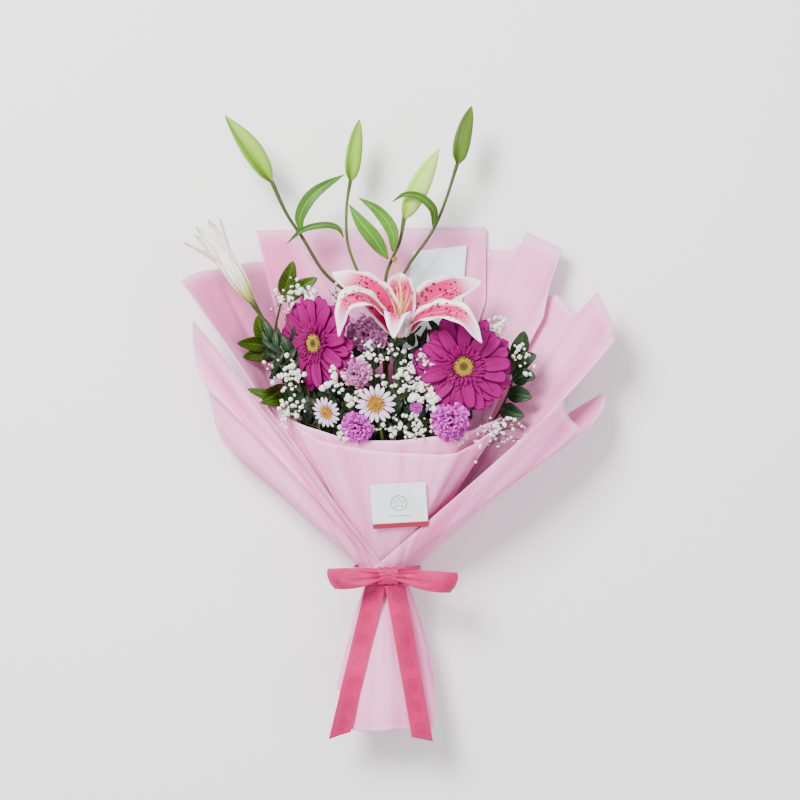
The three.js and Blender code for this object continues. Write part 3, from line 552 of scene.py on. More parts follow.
def bow_loop(reach, end_t, lift):
    side = math.copysign(1, reach)
    stations = [(side * 4, 0, 1.5), (reach * 0.4, end_t * 0.3, lift),
                (reach * 0.84, end_t * 0.85, lift * 0.9), (reach, end_t, 0),
                (reach * 0.8, end_t * 0.9, -lift * 0.3), (reach * 0.4, end_t * 0.4, -1.5),
                (side * 4, 0, -1.5)]
    line = [Vector((neck_x + 1 + x, 1 + t, knot_z + 1.5 + z)) for x, t, z in stations]

    def surface(u, v):
        point = through(line, v)
        spread = smooth(1 - abs(2 * v - 1), 0, 0.62)
        edge = 2 * u - 1
        slant = side * 5 * edge * spread * (1 if v < 0.5 else 0.6)
        point.x += slant - side * 4.5 * edge * edge * spread
        point.y += 0.5 * edge * mix(ribbon_width * 0.42, ribbon_width, spread)
        point.z += (1.5 * (1 - spread) * math.sin(4.5 * math.pi * u)
                    + 1.2 * spread * math.cos(0.5 * math.pi * edge))
        return point
    return surface


for name, reach, end_t in (("ribbon_loop_left", -64, -3), ("ribbon_loop_right", 74, -7)):
    piece, points = sheet_mesh(name + "_satin", bow_loop(reach, end_t, 9), 20, 90)
    thicken(piece, ribbon_thickness)
    finish_piece(piece, satin, "ribbon_satin", name)
    declare_sheet(piece, points)


def knot_surface(u, v):
    turn = 2 * math.pi * v
    pinch = 1 - 0.16 * math.cos(2 * math.pi * (u - 0.5)) * 0.5
    ruck = 1 + 0.05 * math.sin(5 * math.pi * u + 1.2 * math.sin(turn))
    return Vector((neck_x + 1 + (u - 0.5) * 2 * knot_half.x * pinch,
                   1 + knot_half.y * math.sin(turn) * ruck,
                   knot_z + (knot_half.z - 0.4) * math.cos(turn) * ruck))


piece, points = sheet_mesh("ribbon_knot_satin", knot_surface, 24, 48)
thicken(piece, ribbon_thickness)
finish_piece(piece, satin, "ribbon_satin", "ribbon_knot")
declare_sheet(piece, points)


def tail_surface(start_x, end_x, end_t, slant, lift):
    def surface(u, v):
        t = mix(-band_half - 1, end_t + slant * (u - 0.5), v)
        x = mix(start_x, end_x, t / end_t) + (u - 0.5) * ribbon_width
        half_width, half_height, centre_z = skirt_section(1, t)
        offset = min(max((x - neck_x) / half_width, -0.85), 0.85)
        knot_rise = 14 * math.exp((t + band_half) / 14)
        wave = 0.7 * math.sin(0.09 * t + start_x) * smooth(v, 0.1, 0.5)
        upright = math.sqrt(1 - offset * offset)
        return Vector((x, t, centre_z + half_height * upright + lift / upright + knot_rise + wave))
    return surface


tail_lift = 4.2
tails = {"ribbon_tail_left": (-21, -62, -172, 9, tail_lift),
         "ribbon_tail_right": (-4, 27, -175, -6, tail_lift + 2)}
for name, shape in tails.items():
    piece, points = sheet_mesh(name + "_satin", tail_surface(*shape), 16, 110)
    thicken(piece, ribbon_thickness)
    finish_piece(piece, satin, "ribbon_satin", name)
    declare_sheet(piece, points)

# ---------- Gift card ----------
# A smooth printed card, 59 by 51 mm, leans flat against the front sheet. It carries a round
# flower emblem and a coral strip along its foot.

card_width, card_height, card_thickness, card_corner = 59.0, 51.0, 0.5, 1.0
panel = fan_surface(*wrap_sheets["wrap_front_panel"])
panel_grid = [(i / 50, 0.2 + 0.8 * j / 50) for i in range(51) for j in range(51)]
card_u, card_v = min(panel_grid, key=lambda k: (panel(*k).xy - Vector((2, 78))).length)
card_place = panel(card_u, card_v)
card_right = (panel(card_u + 0.08, card_v) - panel(card_u - 0.08, card_v)).normalized()
card_up = (panel(card_u, card_v + 0.1) - panel(card_u, card_v - 0.1)).normalized()
card_face = card_right.cross(card_up).normalized()
tilt = math.radians(7)
card_side = (card_right * math.cos(tilt) + card_face.cross(card_right) * math.sin(tilt)).normalized()
card_top = card_face.cross(card_side)
near_card = [panel(*k) - card_place for k in panel_grid]
card_rise = max(p.dot(card_face) for p in near_card
                if abs(p.dot(card_side)) < card_width * 0.55 and abs(p.dot(card_top)) < card_height * 0.55)
card_centre = card_place + card_face * (card_rise + 2.2)


def make_piece(name, parts):
    """Joins parts, each (points in mm, faces, flat u, v of every point, tone), into one piece."""
    points, faces, grid, tones = [], [], [], []
    for part_points, part_faces, part_grid, tone in parts:
        start = len(points)
        points += [tuple(Vector(p) / 1000 + origin) for p in part_points]
        faces += [tuple(k + start for k in face) for face in part_faces]
        grid += list(part_grid)
        tones += tone if isinstance(tone, list) else [tone] * len(part_points)
    mesh = bpy.data.meshes.new(name)
    mesh.from_pydata(points, [], faces)
    flat_map = mesh.uv_layers.new(name="flat")
    corners = np.zeros(len(mesh.loops), dtype=np.int32)
    mesh.loops.foreach_get("vertex_index", corners)
    flat_map.data.foreach_set("uv", np.array([grid[k] for k in corners], dtype=float).ravel())
    mesh.attributes.new("tone", "FLOAT", "POINT").data.foreach_set("value", tones)
    mesh.polygons.foreach_set("use_smooth", [True] * len(mesh.polygons))
    piece = bpy.data.objects.new(name, mesh)
    bpy.context.scene.collection.objects.link(piece)
    return piece


outline = []
for turn in range(7, 367, 15):
    way_x, way_y = math.cos(math.radians(turn)), math.sin(math.radians(turn))
    outline.append((math.copysign(card_width / 2 - card_corner, way_x) + card_corner * way_x,
                    math.copysign(card_height / 2 - card_corner, way_y) + card_corner * way_y))
count = len(outline)
card_points, card_uv = [], []
for inset, height in ((0.15, -0.5), (0, -0.3), (0, 0.3), (0.15, 0.5)):
    for x, y in outline:
        flat_x, flat_y = x * (1 - inset / 25), y * (1 - inset / 25)
        card_points.append(card_centre + card_side * flat_x + card_top * flat_y
                           + card_face * height * card_thickness)
        card_uv.append((flat_x / card_width + 0.5, flat_y / card_height + 0.5))
card_faces = [tuple(range(3 * count, 4 * count)), tuple(reversed(range(count)))]
card_faces += [(k * count + i, k * count + (i + 1) % count, (k + 1) * count + (i + 1) % count,
                (k + 1) * count + i) for k in range(3) for i in range(count)]

card_print, tree, shader = new_material("card_print", 0.5, Specular_IOR_Level=0.25)
flat_uv = node(tree, "ShaderNodeUVMap", {"uv_map": "flat"}).outputs[0]
split = node(tree, "ShaderNodeSeparateXYZ", _0=flat_uv).outputs
from_middle = calc(tree, "MULTIPLY", calc(tree, "SUBTRACT", split[0], 0.5), card_width / card_height)
above_middle = calc(tree, "SUBTRACT", split[1], 0.56)
distance = calc(tree, "SQRT", calc(tree, "ADD", calc(tree, "MULTIPLY", from_middle, from_middle),
                                   calc(tree, "MULTIPLY", above_middle, above_middle)))
turn = calc(tree, "ARCTAN2", above_middle, from_middle)
outer_ring = calc(tree, "COMPARE", distance, 0.165, 0.008)
petal_reach = calc(tree, "MULTIPLY_ADD", calc(tree, "SINE", calc(tree, "MULTIPLY", turn, 5.0)), 0.035, 0.08)
emblem_petals = calc(tree, "COMPARE", distance, petal_reach, 0.009)
rule = calc(tree, "MULTIPLY", calc(tree, "COMPARE", split[1], 0.27, 0.006),
            calc(tree, "LESS_THAN", calc(tree, "ABSOLUTE", from_middle), 0.26))
ink = calc(tree, "MAXIMUM", calc(tree, "MAXIMUM", outer_ring, emblem_petals), rule)
strip = calc(tree, "LESS_THAN", split[1], 0.115)
slot_mark = calc(tree, "MULTIPLY", calc(tree, "COMPARE", split[1], 0.93, 0.007),
                 calc(tree, "LESS_THAN", calc(tree, "ABSOLUTE", from_middle), 0.03))
stock = use_group(tree, mottle, Light=linear(236, 246, 250), Dark=linear(220, 236, 244), Scale=30.0,
                  Amount=0.6)["Colour"]
printed = blend_colour(tree, ink, stock, linear(112, 40, 52))
printed = blend_colour(tree, strip, printed, linear(158, 34, 62))
printed = blend_colour(tree, slot_mark, printed, linear(60, 50, 60))
tree.links.new(printed, shader.inputs["Base Color"])
piece = make_piece("gift_card_printed", [(card_points, card_faces, card_uv, 0.5)])
piece.data.polygons.foreach_set("use_smooth", [False] * len(piece.data.polygons))
finish_piece(piece, card_print, "card", "gift_card")

# ---------- Stems and raffia tie ----------
# Twelve cut stems are held side by side by a turn of raffia under the paper: two lily stalks, two
# gerberas and the stems of the small sprays. Round green stems, darker in places.


def sweep_line(points, steps):
    """Even steps along a smooth line through points that can be unevenly spaced."""
    points = [Vector(p) for p in points]
    knots = [0.0]
    for a, b in zip(points, points[1:]):
        knots.append(knots[-1] + (b - a).length)
    last = len(points) - 1
    slopes = []
    for i in range(last + 1):
        low, high = max(i - 1, 0), min(i + 1, last)
        slopes.append((points[high] - points[low]) / (knots[high] - knots[low]))
    line = []
    for k in range(steps + 1):
        s = knots[-1] * k / steps
        i = max(j for j in range(last) if knots[j] <= s + 1e-9)
        h = knots[i + 1] - knots[i]
        f = (s - knots[i]) / h
        line.append(points[i] * (2 * f**3 - 3 * f**2 + 1) + slopes[i] * h * (f**3 - 2 * f**2 + f)
                    + points[i + 1] * (3 * f**2 - 2 * f**3) + slopes[i + 1] * h * (f**3 - f**2))
    return line


def tube_part(points, radius, sides=10, steps=40, tone=0.5):
    """A round stem. The radius is a number or a function of the share of the length."""
    line = sweep_line(points, steps)
    side, places, grid = None, [], []
    for k, place in enumerate(line):
        ahead = (line[min(k + 1, steps)] - line[max(k - 1, 0)]).normalized()
        side = ahead.orthogonal() if side is None else side - ahead * side.dot(ahead)
        side.normalize()
        other = ahead.cross(side)
        share = k / steps
        reach = radius(share) if callable(radius) else radius
        for i in range(sides):
            turn = 2 * math.pi * i / sides
            places.append(place + side * (reach * math.cos(turn)) + other * (reach * math.sin(turn)))
            grid.append((i / sides, share))
    faces = [(k * sides + i, k * sides + (i + 1) % sides, (k + 1) * sides + (i + 1) % sides,
              (k + 1) * sides + i) for k in range(steps) for i in range(sides)]
    faces += [tuple(reversed(range(sides))), tuple(range(steps * sides, (steps + 1) * sides))]
    return places, faces, grid, tone


cut_end, splay = -132, 1.55   # where the stems end below the tie, and how far they part there


def held_stem(slot, radius, *beyond, tone=0.5):
    x, z = slot
    start = [(neck_x + x * splay, cut_end, neck_z - 2 + z * splay), (neck_x + x, -12, neck_z + z),
             (neck_x + x, 12, neck_z + z)]
    return tube_part(start + list(beyond), radius, 12, 70, tone)


def stem_skin(name, light, dark):
    """Smooth green skin, with fine lines along the stem and darker patches by tone."""
    material, tree, shader = new_material(name, 0.45, Specular_IOR_Level=0.25)
    flat_uv = node(tree, "ShaderNodeUVMap", {"uv_map": "flat"}).outputs[0]
    lines = node(tree, "ShaderNodeTexWave", {"bands_direction": "X"}, Vector=flat_uv, Scale=5.0,
                 Distortion=1.5, Detail=2.0).outputs["Fac"]
    cloudy = use_group(tree, mottle, Light=light, Dark=dark, Scale=45.0, Amount=0.9)
    tone = node(tree, "ShaderNodeAttribute", {"attribute_name": "tone"}).outputs["Fac"]
    shaded = blend_colour(tree, tone, cloudy["Colour"], dark)
    tree.links.new(shaded, shader.inputs["Base Color"])
    relief_of(tree, shader, lines, 0.0002, 0.3)
    return material


green_skin = stem_skin("stem_skin", linear(88, 112, 42), linear(56, 66, 28))
stems = {
    "lily_stalk": [
        held_stem((0.5, -4), 3.2, (-10, 120, 48), (-13, 240, 54), (-14, 300, 48)),
        tube_part([(-13, 280, 50), (-75, 324, 54), (-104, 368, 58), (-120, 392, 60), (-136, 427, 62)],
                  lambda s: 1.9 + 0.5 * smooth(s, 0.8, 1), tone=0.75),
        tube_part([(-14, 265, 51), (-44, 332, 48), (-54, 362, 50), (-55, 400, 51), (-50.8, 429, 52)],
                  lambda s: 1.6 + 0.5 * smooth(s, 0.85, 1), tone=0.25),
        tube_part([(-14, 290, 49), (-12, 325, 56), (-4, 346, 62), (3, 362, 67), (7.5, 387, 72)],
                  lambda s: 1.9 + 0.7 * smooth(s, 0.8, 1), tone=0.2),
        tube_part([(-14, 275, 50), (8.6, 330, 50), (38, 373, 54), (52, 405, 57), (65.4, 447, 60)],
                  lambda s: 1.7 + 0.5 * smooth(s, 0.85, 1), tone=0.7),
        tube_part([(-13, 222, 54), (-8, 240, 76), (3, 257, 98), (3, 261, 101)],
                  lambda s: 2.4 + 2.2 * smooth(s, 0.7, 1), tone=0.1)],
    "lily_stalk_left": [held_stem((-11, -0.3), lambda s: 2.8 - 0.6 * s + 1.6 * smooth(s, 0.96, 1),
                                  (-62, 120, 46), (-108, 210, 40), (-128, 248, 48),
                                  (-156.5, 297, 82), tone=0.2)],
    "gerbera_stem_right": [held_stem((6.3, 1.8), 2.6, (30, 110, 70), (64, 203, 92), (70, 226, 110))],
    "gerbera_stem_left": [held_stem((-6.2, -4.5), 2.6, (-40, 120, 48), (-72, 225, 66),
                                    (-86, 251, 88))],
    "carnation_spray_left": [
        held_stem((-4, 9), 2, (-22, 90, 74), (-38, 140, 92), (-42, 163, 112)),
        tube_part([(-30, 110, 82), (-34, 170, 96), (-43, 205, 104), (-43, 219, 110)], 1.4),
        tube_part([(-34, 130, 88), (-28, 200, 86), (-32, 240, 84), (-33, 262, 88)], 1.4)],
    "carnation_spray_right": [
        held_stem((6.5, 8.5), 2, (22, 90, 80), (48, 140, 100), (56, 168, 116)),
        tube_part([(14, 70, 74), (16, 130, 96), (20, 165, 110), (20, 183, 118)], 1.4),
        tube_part([(26, 100, 84), (24, 160, 88), (20, 200, 88), (20, 222, 92)], 1.4)],
    "daisy_spray": [held_stem((0.8, 6.5), 1.8, (-8, 90, 80), (-16, 150, 104), (-22.6, 184, 124)),
                    tube_part([(-9, 94, 81), (-50, 140, 92), (-70, 168, 100), (-75, 177, 109)], 1.3)],
}
for name, parts in stems.items():
    finish_piece(make_piece(name + "_green", parts), green_skin, "stem_green", name)

raffia, tree, shader = new_material("raffia_fibre", 0.85)
flat_uv = node(tree, "ShaderNodeUVMap", {"uv_map": "flat"}).outputs[0]
fibres = node(tree, "ShaderNodeTexWave", {"bands_direction": "X"}, Vector=flat_uv, Scale=6.0,
              Distortion=2.0, Detail=3.0).outputs["Fac"]
tree.links.new(ramp(tree, fibres, (0.0, linear(112, 84, 44)), (1.0, linear(180, 152, 98))),
               shader.inputs["Base Color"])
relief_of(tree, shader, fibres, 0.0003, 0.6)
turns = []
for wrap in range(3):
    ring = [neck_point(15 * k, 16.7, 3.3 * (wrap - 1) + 3.0 * k / 24) for k in range(25)]
    turns.append(tube_part(ring, 0.75, 8, 96))
finish_piece(make_piece("stem_tie_raffia", turns), raffia, "raffia", "stem_tie")

# ---------- Lily bloom ----------
# One open oriental lily: six tepals about 80 to 130 mm along the curve, pink with white ruffled
# rims and dark red spots, that curl back at their tips. Six pale filaments stand round a long
# pistil.

lily_base = Vector((3, 258, 98))
lily_tilt = math.radians(35)
lily_axis = Vector((0, math.cos(lily_tilt), math.sin(lily_tilt)))
lily_front = Vector((0, -math.sin(lily_tilt), math.cos(lily_tilt)))


def in_bloom(degrees, r, h):
    turn = math.radians(degrees)
    return (lily_base + lily_axis * h + Vector((1, 0, 0)) * (r * math.cos(turn))
            + lily_front * (r * math.sin(turn)))


def blade_part(line, side_of, half_of, rise, columns=12, thickness=0.6, tone=0.5, under=0.0):
    """A closed blade along a line. It is half_of(v) wide on each side, rise(s, v) high across, and
    runs out to thin edges. `under` is added to the tone of its lower face."""
    rows = len(line) - 1
    points, grid, tones, index = [], [], [], {}
    for k, place in enumerate(line):
        v = k / rows
        ahead = (line[min(k + 1, rows)] - line[max(k - 1, 0)]).normalized()
        side = side_of(ahead, v).normalized()
        up = side.cross(ahead)
        half = half_of(v)
        for i in range(columns + 1):
            s = 2 * i / columns - 1
            middle_line = place + side * (s * half) + up * rise(s, v)
            at_rim = i in (0, columns) or k in (0, rows)
            for face in (0, 1):
                if face and at_rim:
                    index[1, k, i] = index[0, k, i]
                    continue
                index[face, k, i] = len(points)
                points.append(middle_line if at_rim
                              else middle_line + up * (thickness * (0.5 - face)))
                grid.append((i / columns, v))
                tones.append(tone + under * face)
    faces = []
    for k in range(rows):
        for i in range(columns):
            cell = [(k, i), (k, i + 1), (k + 1, i + 1), (k + 1, i)]
            faces.append(tuple(index[(0,) + corner] for corner in cell))
            faces.append(tuple(index[(1,) + corner] for corner in reversed(cell)))
    return points, faces, grid, tones


def tepal_part(degrees, width, lean, profile, phase, tone):
    turn = math.radians(degrees)
    plane = Vector((-math.sin(turn), 0, 0)) + lily_front * math.cos(turn)
    line = sweep_line([in_bloom(degrees, r, h) for r, h in profile], 56)

    def side_of(ahead, v):
        return ahead.cross(plane.cross(ahead) + Vector((0, 0, lean)))

    def half_of(v):
        return width / 2 * max(0.2 * (1 - v) + 1.0 * math.sin(math.pi * v**0.85) ** 0.75, 0.02)

    def rise(s, v):
        ruffle = abs(s)**3 * math.sin(2 * math.pi * 4.5 * v + phase + 1.4 * s)
        groove = math.exp(-(s / 0.14)**2) * (1 - 0.6 * v)
        return 0.22 * s * s * half_of(v) + 1.5 * ruffle * math.sin(math.pi * v) - 1.1 * groove

    return blade_part(line, side_of, half_of, rise, 22, 0.7, tone, 2.0)


lily_skin, tree, shader = new_material("lily_skin", 0.45, Specular_IOR_Level=0.18, Subsurface_Weight=0.04,
                                       Subsurface_Scale=0.004)
flat_uv = node(tree, "ShaderNodeUVMap", {"uv_map": "flat"}).outputs[0]
split = node(tree, "ShaderNodeSeparateXYZ", _0=flat_uv).outputs
tone = node(tree, "ShaderNodeAttribute", {"attribute_name": "tone"}).outputs["Fac"]
under = node(tree, "ShaderNodeClamp", Value=calc(tree, "SUBTRACT", tone, 1.0)).outputs[0]
rim = calc(tree, "ABSOLUTE", calc(tree, "MULTIPLY_ADD", split[0], 2.0, -1.0))
stretched = node(tree, "ShaderNodeMapping", Vector=flat_uv)
stretched.inputs["Scale"].default_value = (16, 2.5, 1)
feather = node(tree, "ShaderNodeTexNoise", Vector=stretched.outputs[0], Scale=1.0, Detail=3.0).outputs[0]
feathered = calc(tree, "MULTIPLY_ADD", calc(tree, "SUBTRACT", feather, 0.5), 0.35, rim)
own_tone = calc(tree, "SUBTRACT", tone, calc(tree, "MULTIPLY", under, 2.0))
margin = calc(tree, "MULTIPLY_ADD", own_tone, 0.42, 0.6)
core = node(tree, "ShaderNodeMapRange", {"interpolation_type": "SMOOTHSTEP"}, Value=feathered,
            From_Min=calc(tree, "SUBTRACT", margin, 0.28), From_Max=margin, To_Min=1.0,
            To_Max=0.0).outputs[0]
toward_tip = node(tree, "ShaderNodeMapRange", {"interpolation_type": "SMOOTHSTEP"}, Value=split[1],
                  From_Min=0.7, From_Max=1.0, To_Min=1.0, To_Max=0.0).outputs[0]
core = calc(tree, "MULTIPLY", core, toward_tip)
core = calc(tree, "MULTIPLY", core, calc(tree, "MULTIPLY_ADD", under, -0.45, 1.0))
pinks = ramp(tree, split[1], (0.0, linear(206, 60, 92)), (0.18, linear(180, 0, 82)),
             (0.6, linear(206, 0, 102)), (1.0, linear(250, 120, 172)))
petal = blend_colour(tree, core, linear(252, 246, 250), pinks)
midrib = calc(tree, "MULTIPLY", calc(tree, "LESS_THAN", rim, 0.045),
              calc(tree, "LESS_THAN", split[1], 0.7))
petal = blend_colour(tree, calc(tree, "MULTIPLY", midrib, 0.45), petal, linear(252, 139, 154))
spot_place = node(tree, "ShaderNodeMapping", Vector=flat_uv)
spot_place.inputs["Scale"].default_value = (7.5, 21, 1)
cells = node(tree, "ShaderNodeTexVoronoi", Vector=spot_place.outputs[0], Scale=1.0,
             Randomness=0.85).outputs["Distance"]
spots = node(tree, "ShaderNodeMapRange", {"interpolation_type": "SMOOTHSTEP"}, Value=cells,
             From_Min=0.27, From_Max=0.4, To_Min=1.0, To_Max=0.0).outputs[0]
spotted = calc(tree, "MULTIPLY", calc(tree, "LESS_THAN", rim, 0.78),
               calc(tree, "MULTIPLY", calc(tree, "GREATER_THAN", split[1], 0.14),
                    calc(tree, "LESS_THAN", split[1], 0.74)))
spots = calc(tree, "MULTIPLY", calc(tree, "MULTIPLY", spots, spotted),
             calc(tree, "SUBTRACT", 0.9, under))
petal = blend_colour(tree, spots, petal, linear(64, 0, 20))
tree.links.new(petal, shader.inputs["Base Color"])
relief_of(tree, shader, calc(tree, "MULTIPLY_ADD", spots, 0.8, feather), 0.0006, 0.4)

tepals = {
    "lily_tepal_front": (98, 27, 0, ((8, 3), (13, 26), (24, 44), (38, 46), (50, 30)), 0.4, 0.25),
    "lily_tepal_left_front": (154, 30, 0.3, ((9, 3), (17, 30), (42, 60), (62, 60), (72, 20)), 1.7, 0.3),
    "lily_tepal_right_front": (30, 31, 0.3, ((9, 3), (18, 26), (44, 45), (74, 50), (99, 24)), 2.9, 0.4),
    "lily_tepal_left_back": (210, 38, 0.6, ((9, 3), (15, 22), (44, 46), (84, 54)), 0.9, 0.85),
    "lily_tepal_right_back": (-30, 38, 0.6, ((9, 3), (16, 20), (54, 38), (102, 37)), 2.2, 0.8),
    "lily_tepal_back": (-90, 31, 0.5, ((8, 3), (12, 22), (36, 40), (64, 40)), 4.0, 0.9),
}
for name, shape in tepals.items():
    finish_piece(make_piece(name + "_petal", [tepal_part(*shape)]), lily_skin, "lily_petal", name)

filament_skin, tree, shader = new_material("filament_skin", 0.4, Subsurface_Weight=0.1,
                                           Subsurface_Scale=0.002)
flat_uv = node(tree, "ShaderNodeUVMap", {"uv_map": "flat"}).outputs[0]
along = node(tree, "ShaderNodeSeparateXYZ", _0=flat_uv).outputs[1]
tree.links.new(ramp(tree, along, (0.0, linear(206, 190, 80)), (0.7, linear(240, 214, 128)),
                    (0.93, linear(200, 166, 66)), (1.0, linear(120, 90, 34))),
               shader.inputs["Base Color"])
filaments = [tube_part([in_bloom(60 * i + 15, 2, 5), in_bloom(60 * i + 15, 5, 30),
                        in_bloom(60 * i + 15, 14, 58)],
                       lambda s: 1.15 - 0.55 * s + 0.5 * smooth(s, 0.9, 0.97), 10, 36)
             for i in range(6)]
filaments.append(tube_part([in_bloom(0, 0, 2), in_bloom(0, 0, 10)],
                           lambda s: 4.6 - 2.2 * s * s, 16, 10))
finish_piece(make_piece("lily_stamens_pale", filaments), filament_skin, "lily_centre",
             "lily_stamens")
pistil = tube_part([in_bloom(0, 0, 9), in_bloom(-60, 3, 50), in_bloom(-120, 12, 92)],
                   lambda s: 1.2 + 1.8 * smooth(s, 0.93, 0.985), 15, 70)
finish_piece(make_piece("lily_pistil_pale", [pistil]), filament_skin, "lily_centre", "lily_pistil")

# ---------- Lily buds ----------
# Four closed buds 64 to 86 mm long, each of three ribbed outer tepals over the inner ones. One is
# ready to open and pale. The fifth has begun to open: its cream tepals part at their tips.


def bud_part(base, tip, width, profile, hook):
    base, tip = Vector(base), Vector(tip)
    reach = tip - base
    ahead = reach.normalized()
    side = ahead.cross(Vector((0, 0, 1))).normalized()
    up = side.cross(ahead)
    sides, rows = 48, 36
    places, grid = [], []
    for k in range(rows + 1):
        v = k / rows
        radius = through([Vector((value, 0)) for value in profile], v).x * width / 2
        middle_line = base + reach * v + side * (hook * math.sin(math.pi * v))
        for i in range(sides):
            turn = 2 * math.pi * i / sides
            rib = 0.05 * math.cos(3 * turn) - 0.07 * math.exp(-(math.sin(1.5 * turn) / 0.12)**2)
            r = radius * (1 + rib * math.sin(math.pi * v) ** 0.5)
            places.append(middle_line + side * (r * math.cos(turn)) + up * (r * math.sin(turn)))
            grid.append((i / sides, v))
    faces = [(k * sides + (i + 1) % sides, k * sides + i, (k + 1) * sides + i,
              (k + 1) * sides + (i + 1) % sides) for k in range(rows) for i in range(sides)]
    faces += [tuple(range(sides)), tuple(reversed(range(rows * sides, (rows + 1) * sides)))]
    return places, faces, grid, 0.5


def bud_skin(name, foot, middle_colour, tip, rib_and_lit_colour):
    material, tree, shader = new_material(name, 0.42, Specular_IOR_Level=0.2, Subsurface_Weight=0.04,
                                          Subsurface_Scale=0.004)
    flat_uv = node(tree, "ShaderNodeUVMap", {"uv_map": "flat"}).outputs[0]
    split = node(tree, "ShaderNodeSeparateXYZ", _0=flat_uv).outputs
    body = ramp(tree, split[1], (0.0, foot), (0.35, middle_colour), (0.85, middle_colour),
                (0.97, tip), (1.0, linear(70, 56, 32)))
    # Each outer tepal turns paler down its middle and darker toward the seams: partly a paler rib colour,
    # partly painted light and shade across each lobe.
    lobes = calc(tree, "COSINE", calc(tree, "MULTIPLY", split[0], 6 * math.pi))
    rib_and_lit_share = node(tree, "ShaderNodeMapRange", {"interpolation_type": "SMOOTHSTEP"}, Value=lobes,
                  From_Min=-1.0, From_Max=1.0, To_Min=0.65, To_Max=0.0).outputs[0]
    body = blend_colour(tree, rib_and_lit_share, body, rib_and_lit_colour)
    seams = calc(tree, "COMPARE", calc(tree, "PINGPONG", calc(tree, "MULTIPLY", split[0], 3.0), 0.5),
                 0.0, 0.028)
    body = blend_colour(tree, calc(tree, "MULTIPLY", seams, 0.55), body, foot)
    veins = node(tree, "ShaderNodeTexWave", {"bands_direction": "X"}, Vector=flat_uv, Scale=9.0,
                 Distortion=0.6, Detail=1.0).outputs["Fac"]
    body = blend_colour(tree, calc(tree, "MULTIPLY", veins, 0.18), body, foot)
    tree.links.new(body, shader.inputs["Base Color"])
    relief_of(tree, shader, veins, 0.0003, 0.35)
    return material


green_bud = bud_skin("bud_green_skin", linear(66, 96, 20), linear(104, 150, 20),
                     linear(96, 112, 40), linear(168, 214, 66))
pale_bud = bud_skin("bud_pale_skin", linear(100, 138, 30), linear(166, 224, 66),
                    linear(190, 210, 112), linear(216, 244, 136))
dark_bud = bud_skin("bud_dark_skin", linear(48, 72, 12), linear(66, 96, 18),
                    linear(76, 90, 32), linear(106, 142, 44))
full_profile = (0.2, 0.66, 0.86, 0.97, 1.0, 0.93, 0.8, 0.6, 0.36, 0.05)
slim_profile = (0.22, 0.74, 0.92, 1.0, 0.98, 0.92, 0.82, 0.66, 0.42, 0.06)
buds = {
    "lily_bud_left": ((-136.5, 427, 62), (-186, 497, 66), 23, full_profile, 2.0, green_bud, "bud_green"),
    "lily_bud_centre": ((-50.5, 428, 52), (-41, 494.5, 54), 18, slim_profile, -1.0, green_bud,
                        "bud_green"),
    "lily_bud_pale": ((7.5, 386, 72), (45, 460, 78), 23.5, full_profile, -1.5, pale_bud, "bud_pale"),
    "lily_bud_right": ((65.6, 446, 60), (80.6, 508.5, 60), 19, slim_profile, -1.5, dark_bud,
                       "bud_green"),
}
for name, (base, tip, width, profile, hook, skin, slot_name) in buds.items():
    finish_piece(make_piece(name + "_ribbed", [bud_part(base, tip, width, profile, hook)]), skin,
                 slot_name, name)

half_open_base = Vector((-156, 294.6, 82))
half_open_axis = Vector((-50, 82, 12)).normalized()
half_open_side = half_open_axis.cross(Vector((0, 0, 1))).normalized()
half_open_up = half_open_side.cross(half_open_axis)
cream_skin, tree, shader = new_material("cream_petal", 0.5, Specular_IOR_Level=0.18, Subsurface_Weight=0.04,
                                        Subsurface_Scale=0.004)
flat_uv = node(tree, "ShaderNodeUVMap", {"uv_map": "flat"}).outputs[0]
split = node(tree, "ShaderNodeSeparateXYZ", _0=flat_uv).outputs
tone = node(tree, "ShaderNodeAttribute", {"attribute_name": "tone"}).outputs["Fac"]
body = ramp(tree, split[1], (0.0, linear(122, 132, 42)), (0.16, linear(192, 192, 112)),
            (0.4, linear(250, 247, 232)), (0.88, linear(248, 245, 228)), (1.0, linear(150, 150, 90)))
body = blend_colour(tree, calc(tree, "MULTIPLY", tone, 0.75), body, linear(238, 168, 160))
fold = calc(tree, "LESS_THAN", calc(tree, "ABSOLUTE", calc(tree, "SUBTRACT", split[0], 0.5)), 0.05)
body = blend_colour(tree, calc(tree, "MULTIPLY", fold, 0.4), body, linear(172, 180, 104))
veins = node(tree, "ShaderNodeTexWave", {"bands_direction": "X"}, Vector=flat_uv, Scale=6.0,
             Distortion=0.8, Detail=1.0).outputs["Fac"]
tree.links.new(body, shader.inputs["Base Color"])
relief_of(tree, shader, veins, 0.0003, 0.35)


def half_open_part(tip, degrees, width, tone):
    turn = math.radians(degrees)
    outward = half_open_side * math.cos(turn) + half_open_up * math.sin(turn)
    line = sweep_line([half_open_base + outward * 2, half_open_base + half_open_axis * 16 + outward * 7,
                       half_open_base + half_open_axis * 52 + outward * 8.5, tip], 40)

    def half_of(v):
        return width / 2 * max(0.26 * (1 - v) + math.sin(math.pi * v**0.9) ** 0.8, 0.03)

    return blade_part(line, lambda ahead, v: ahead.cross(outward), half_of,
                      lambda s, v: -0.42 * s * s * half_of(v) * (1 - 0.6 * v)
                      + 0.8 * math.exp(-(s / 0.12)**2), 14, 0.7, tone)


half_open = [half_open_part(Vector(tip), degrees, width, tone) for tip, degrees, width, tone in (
    ((-229, 359, 92), 160, 16, 0.55), ((-215, 375, 101), 105, 17, 0.05),
    ((-202, 383, 98), 60, 18, 0.0), ((-190, 384, 88), 10, 19, 0.0),
    ((-198, 380, 78), -50, 18, 0.2), ((-218, 368, 80), -130, 17, 0.4))]
finish_piece(make_piece("lily_bud_half_open_cream", half_open), cream_skin, "lily_white_bud",
             "lily_bud_half_open")

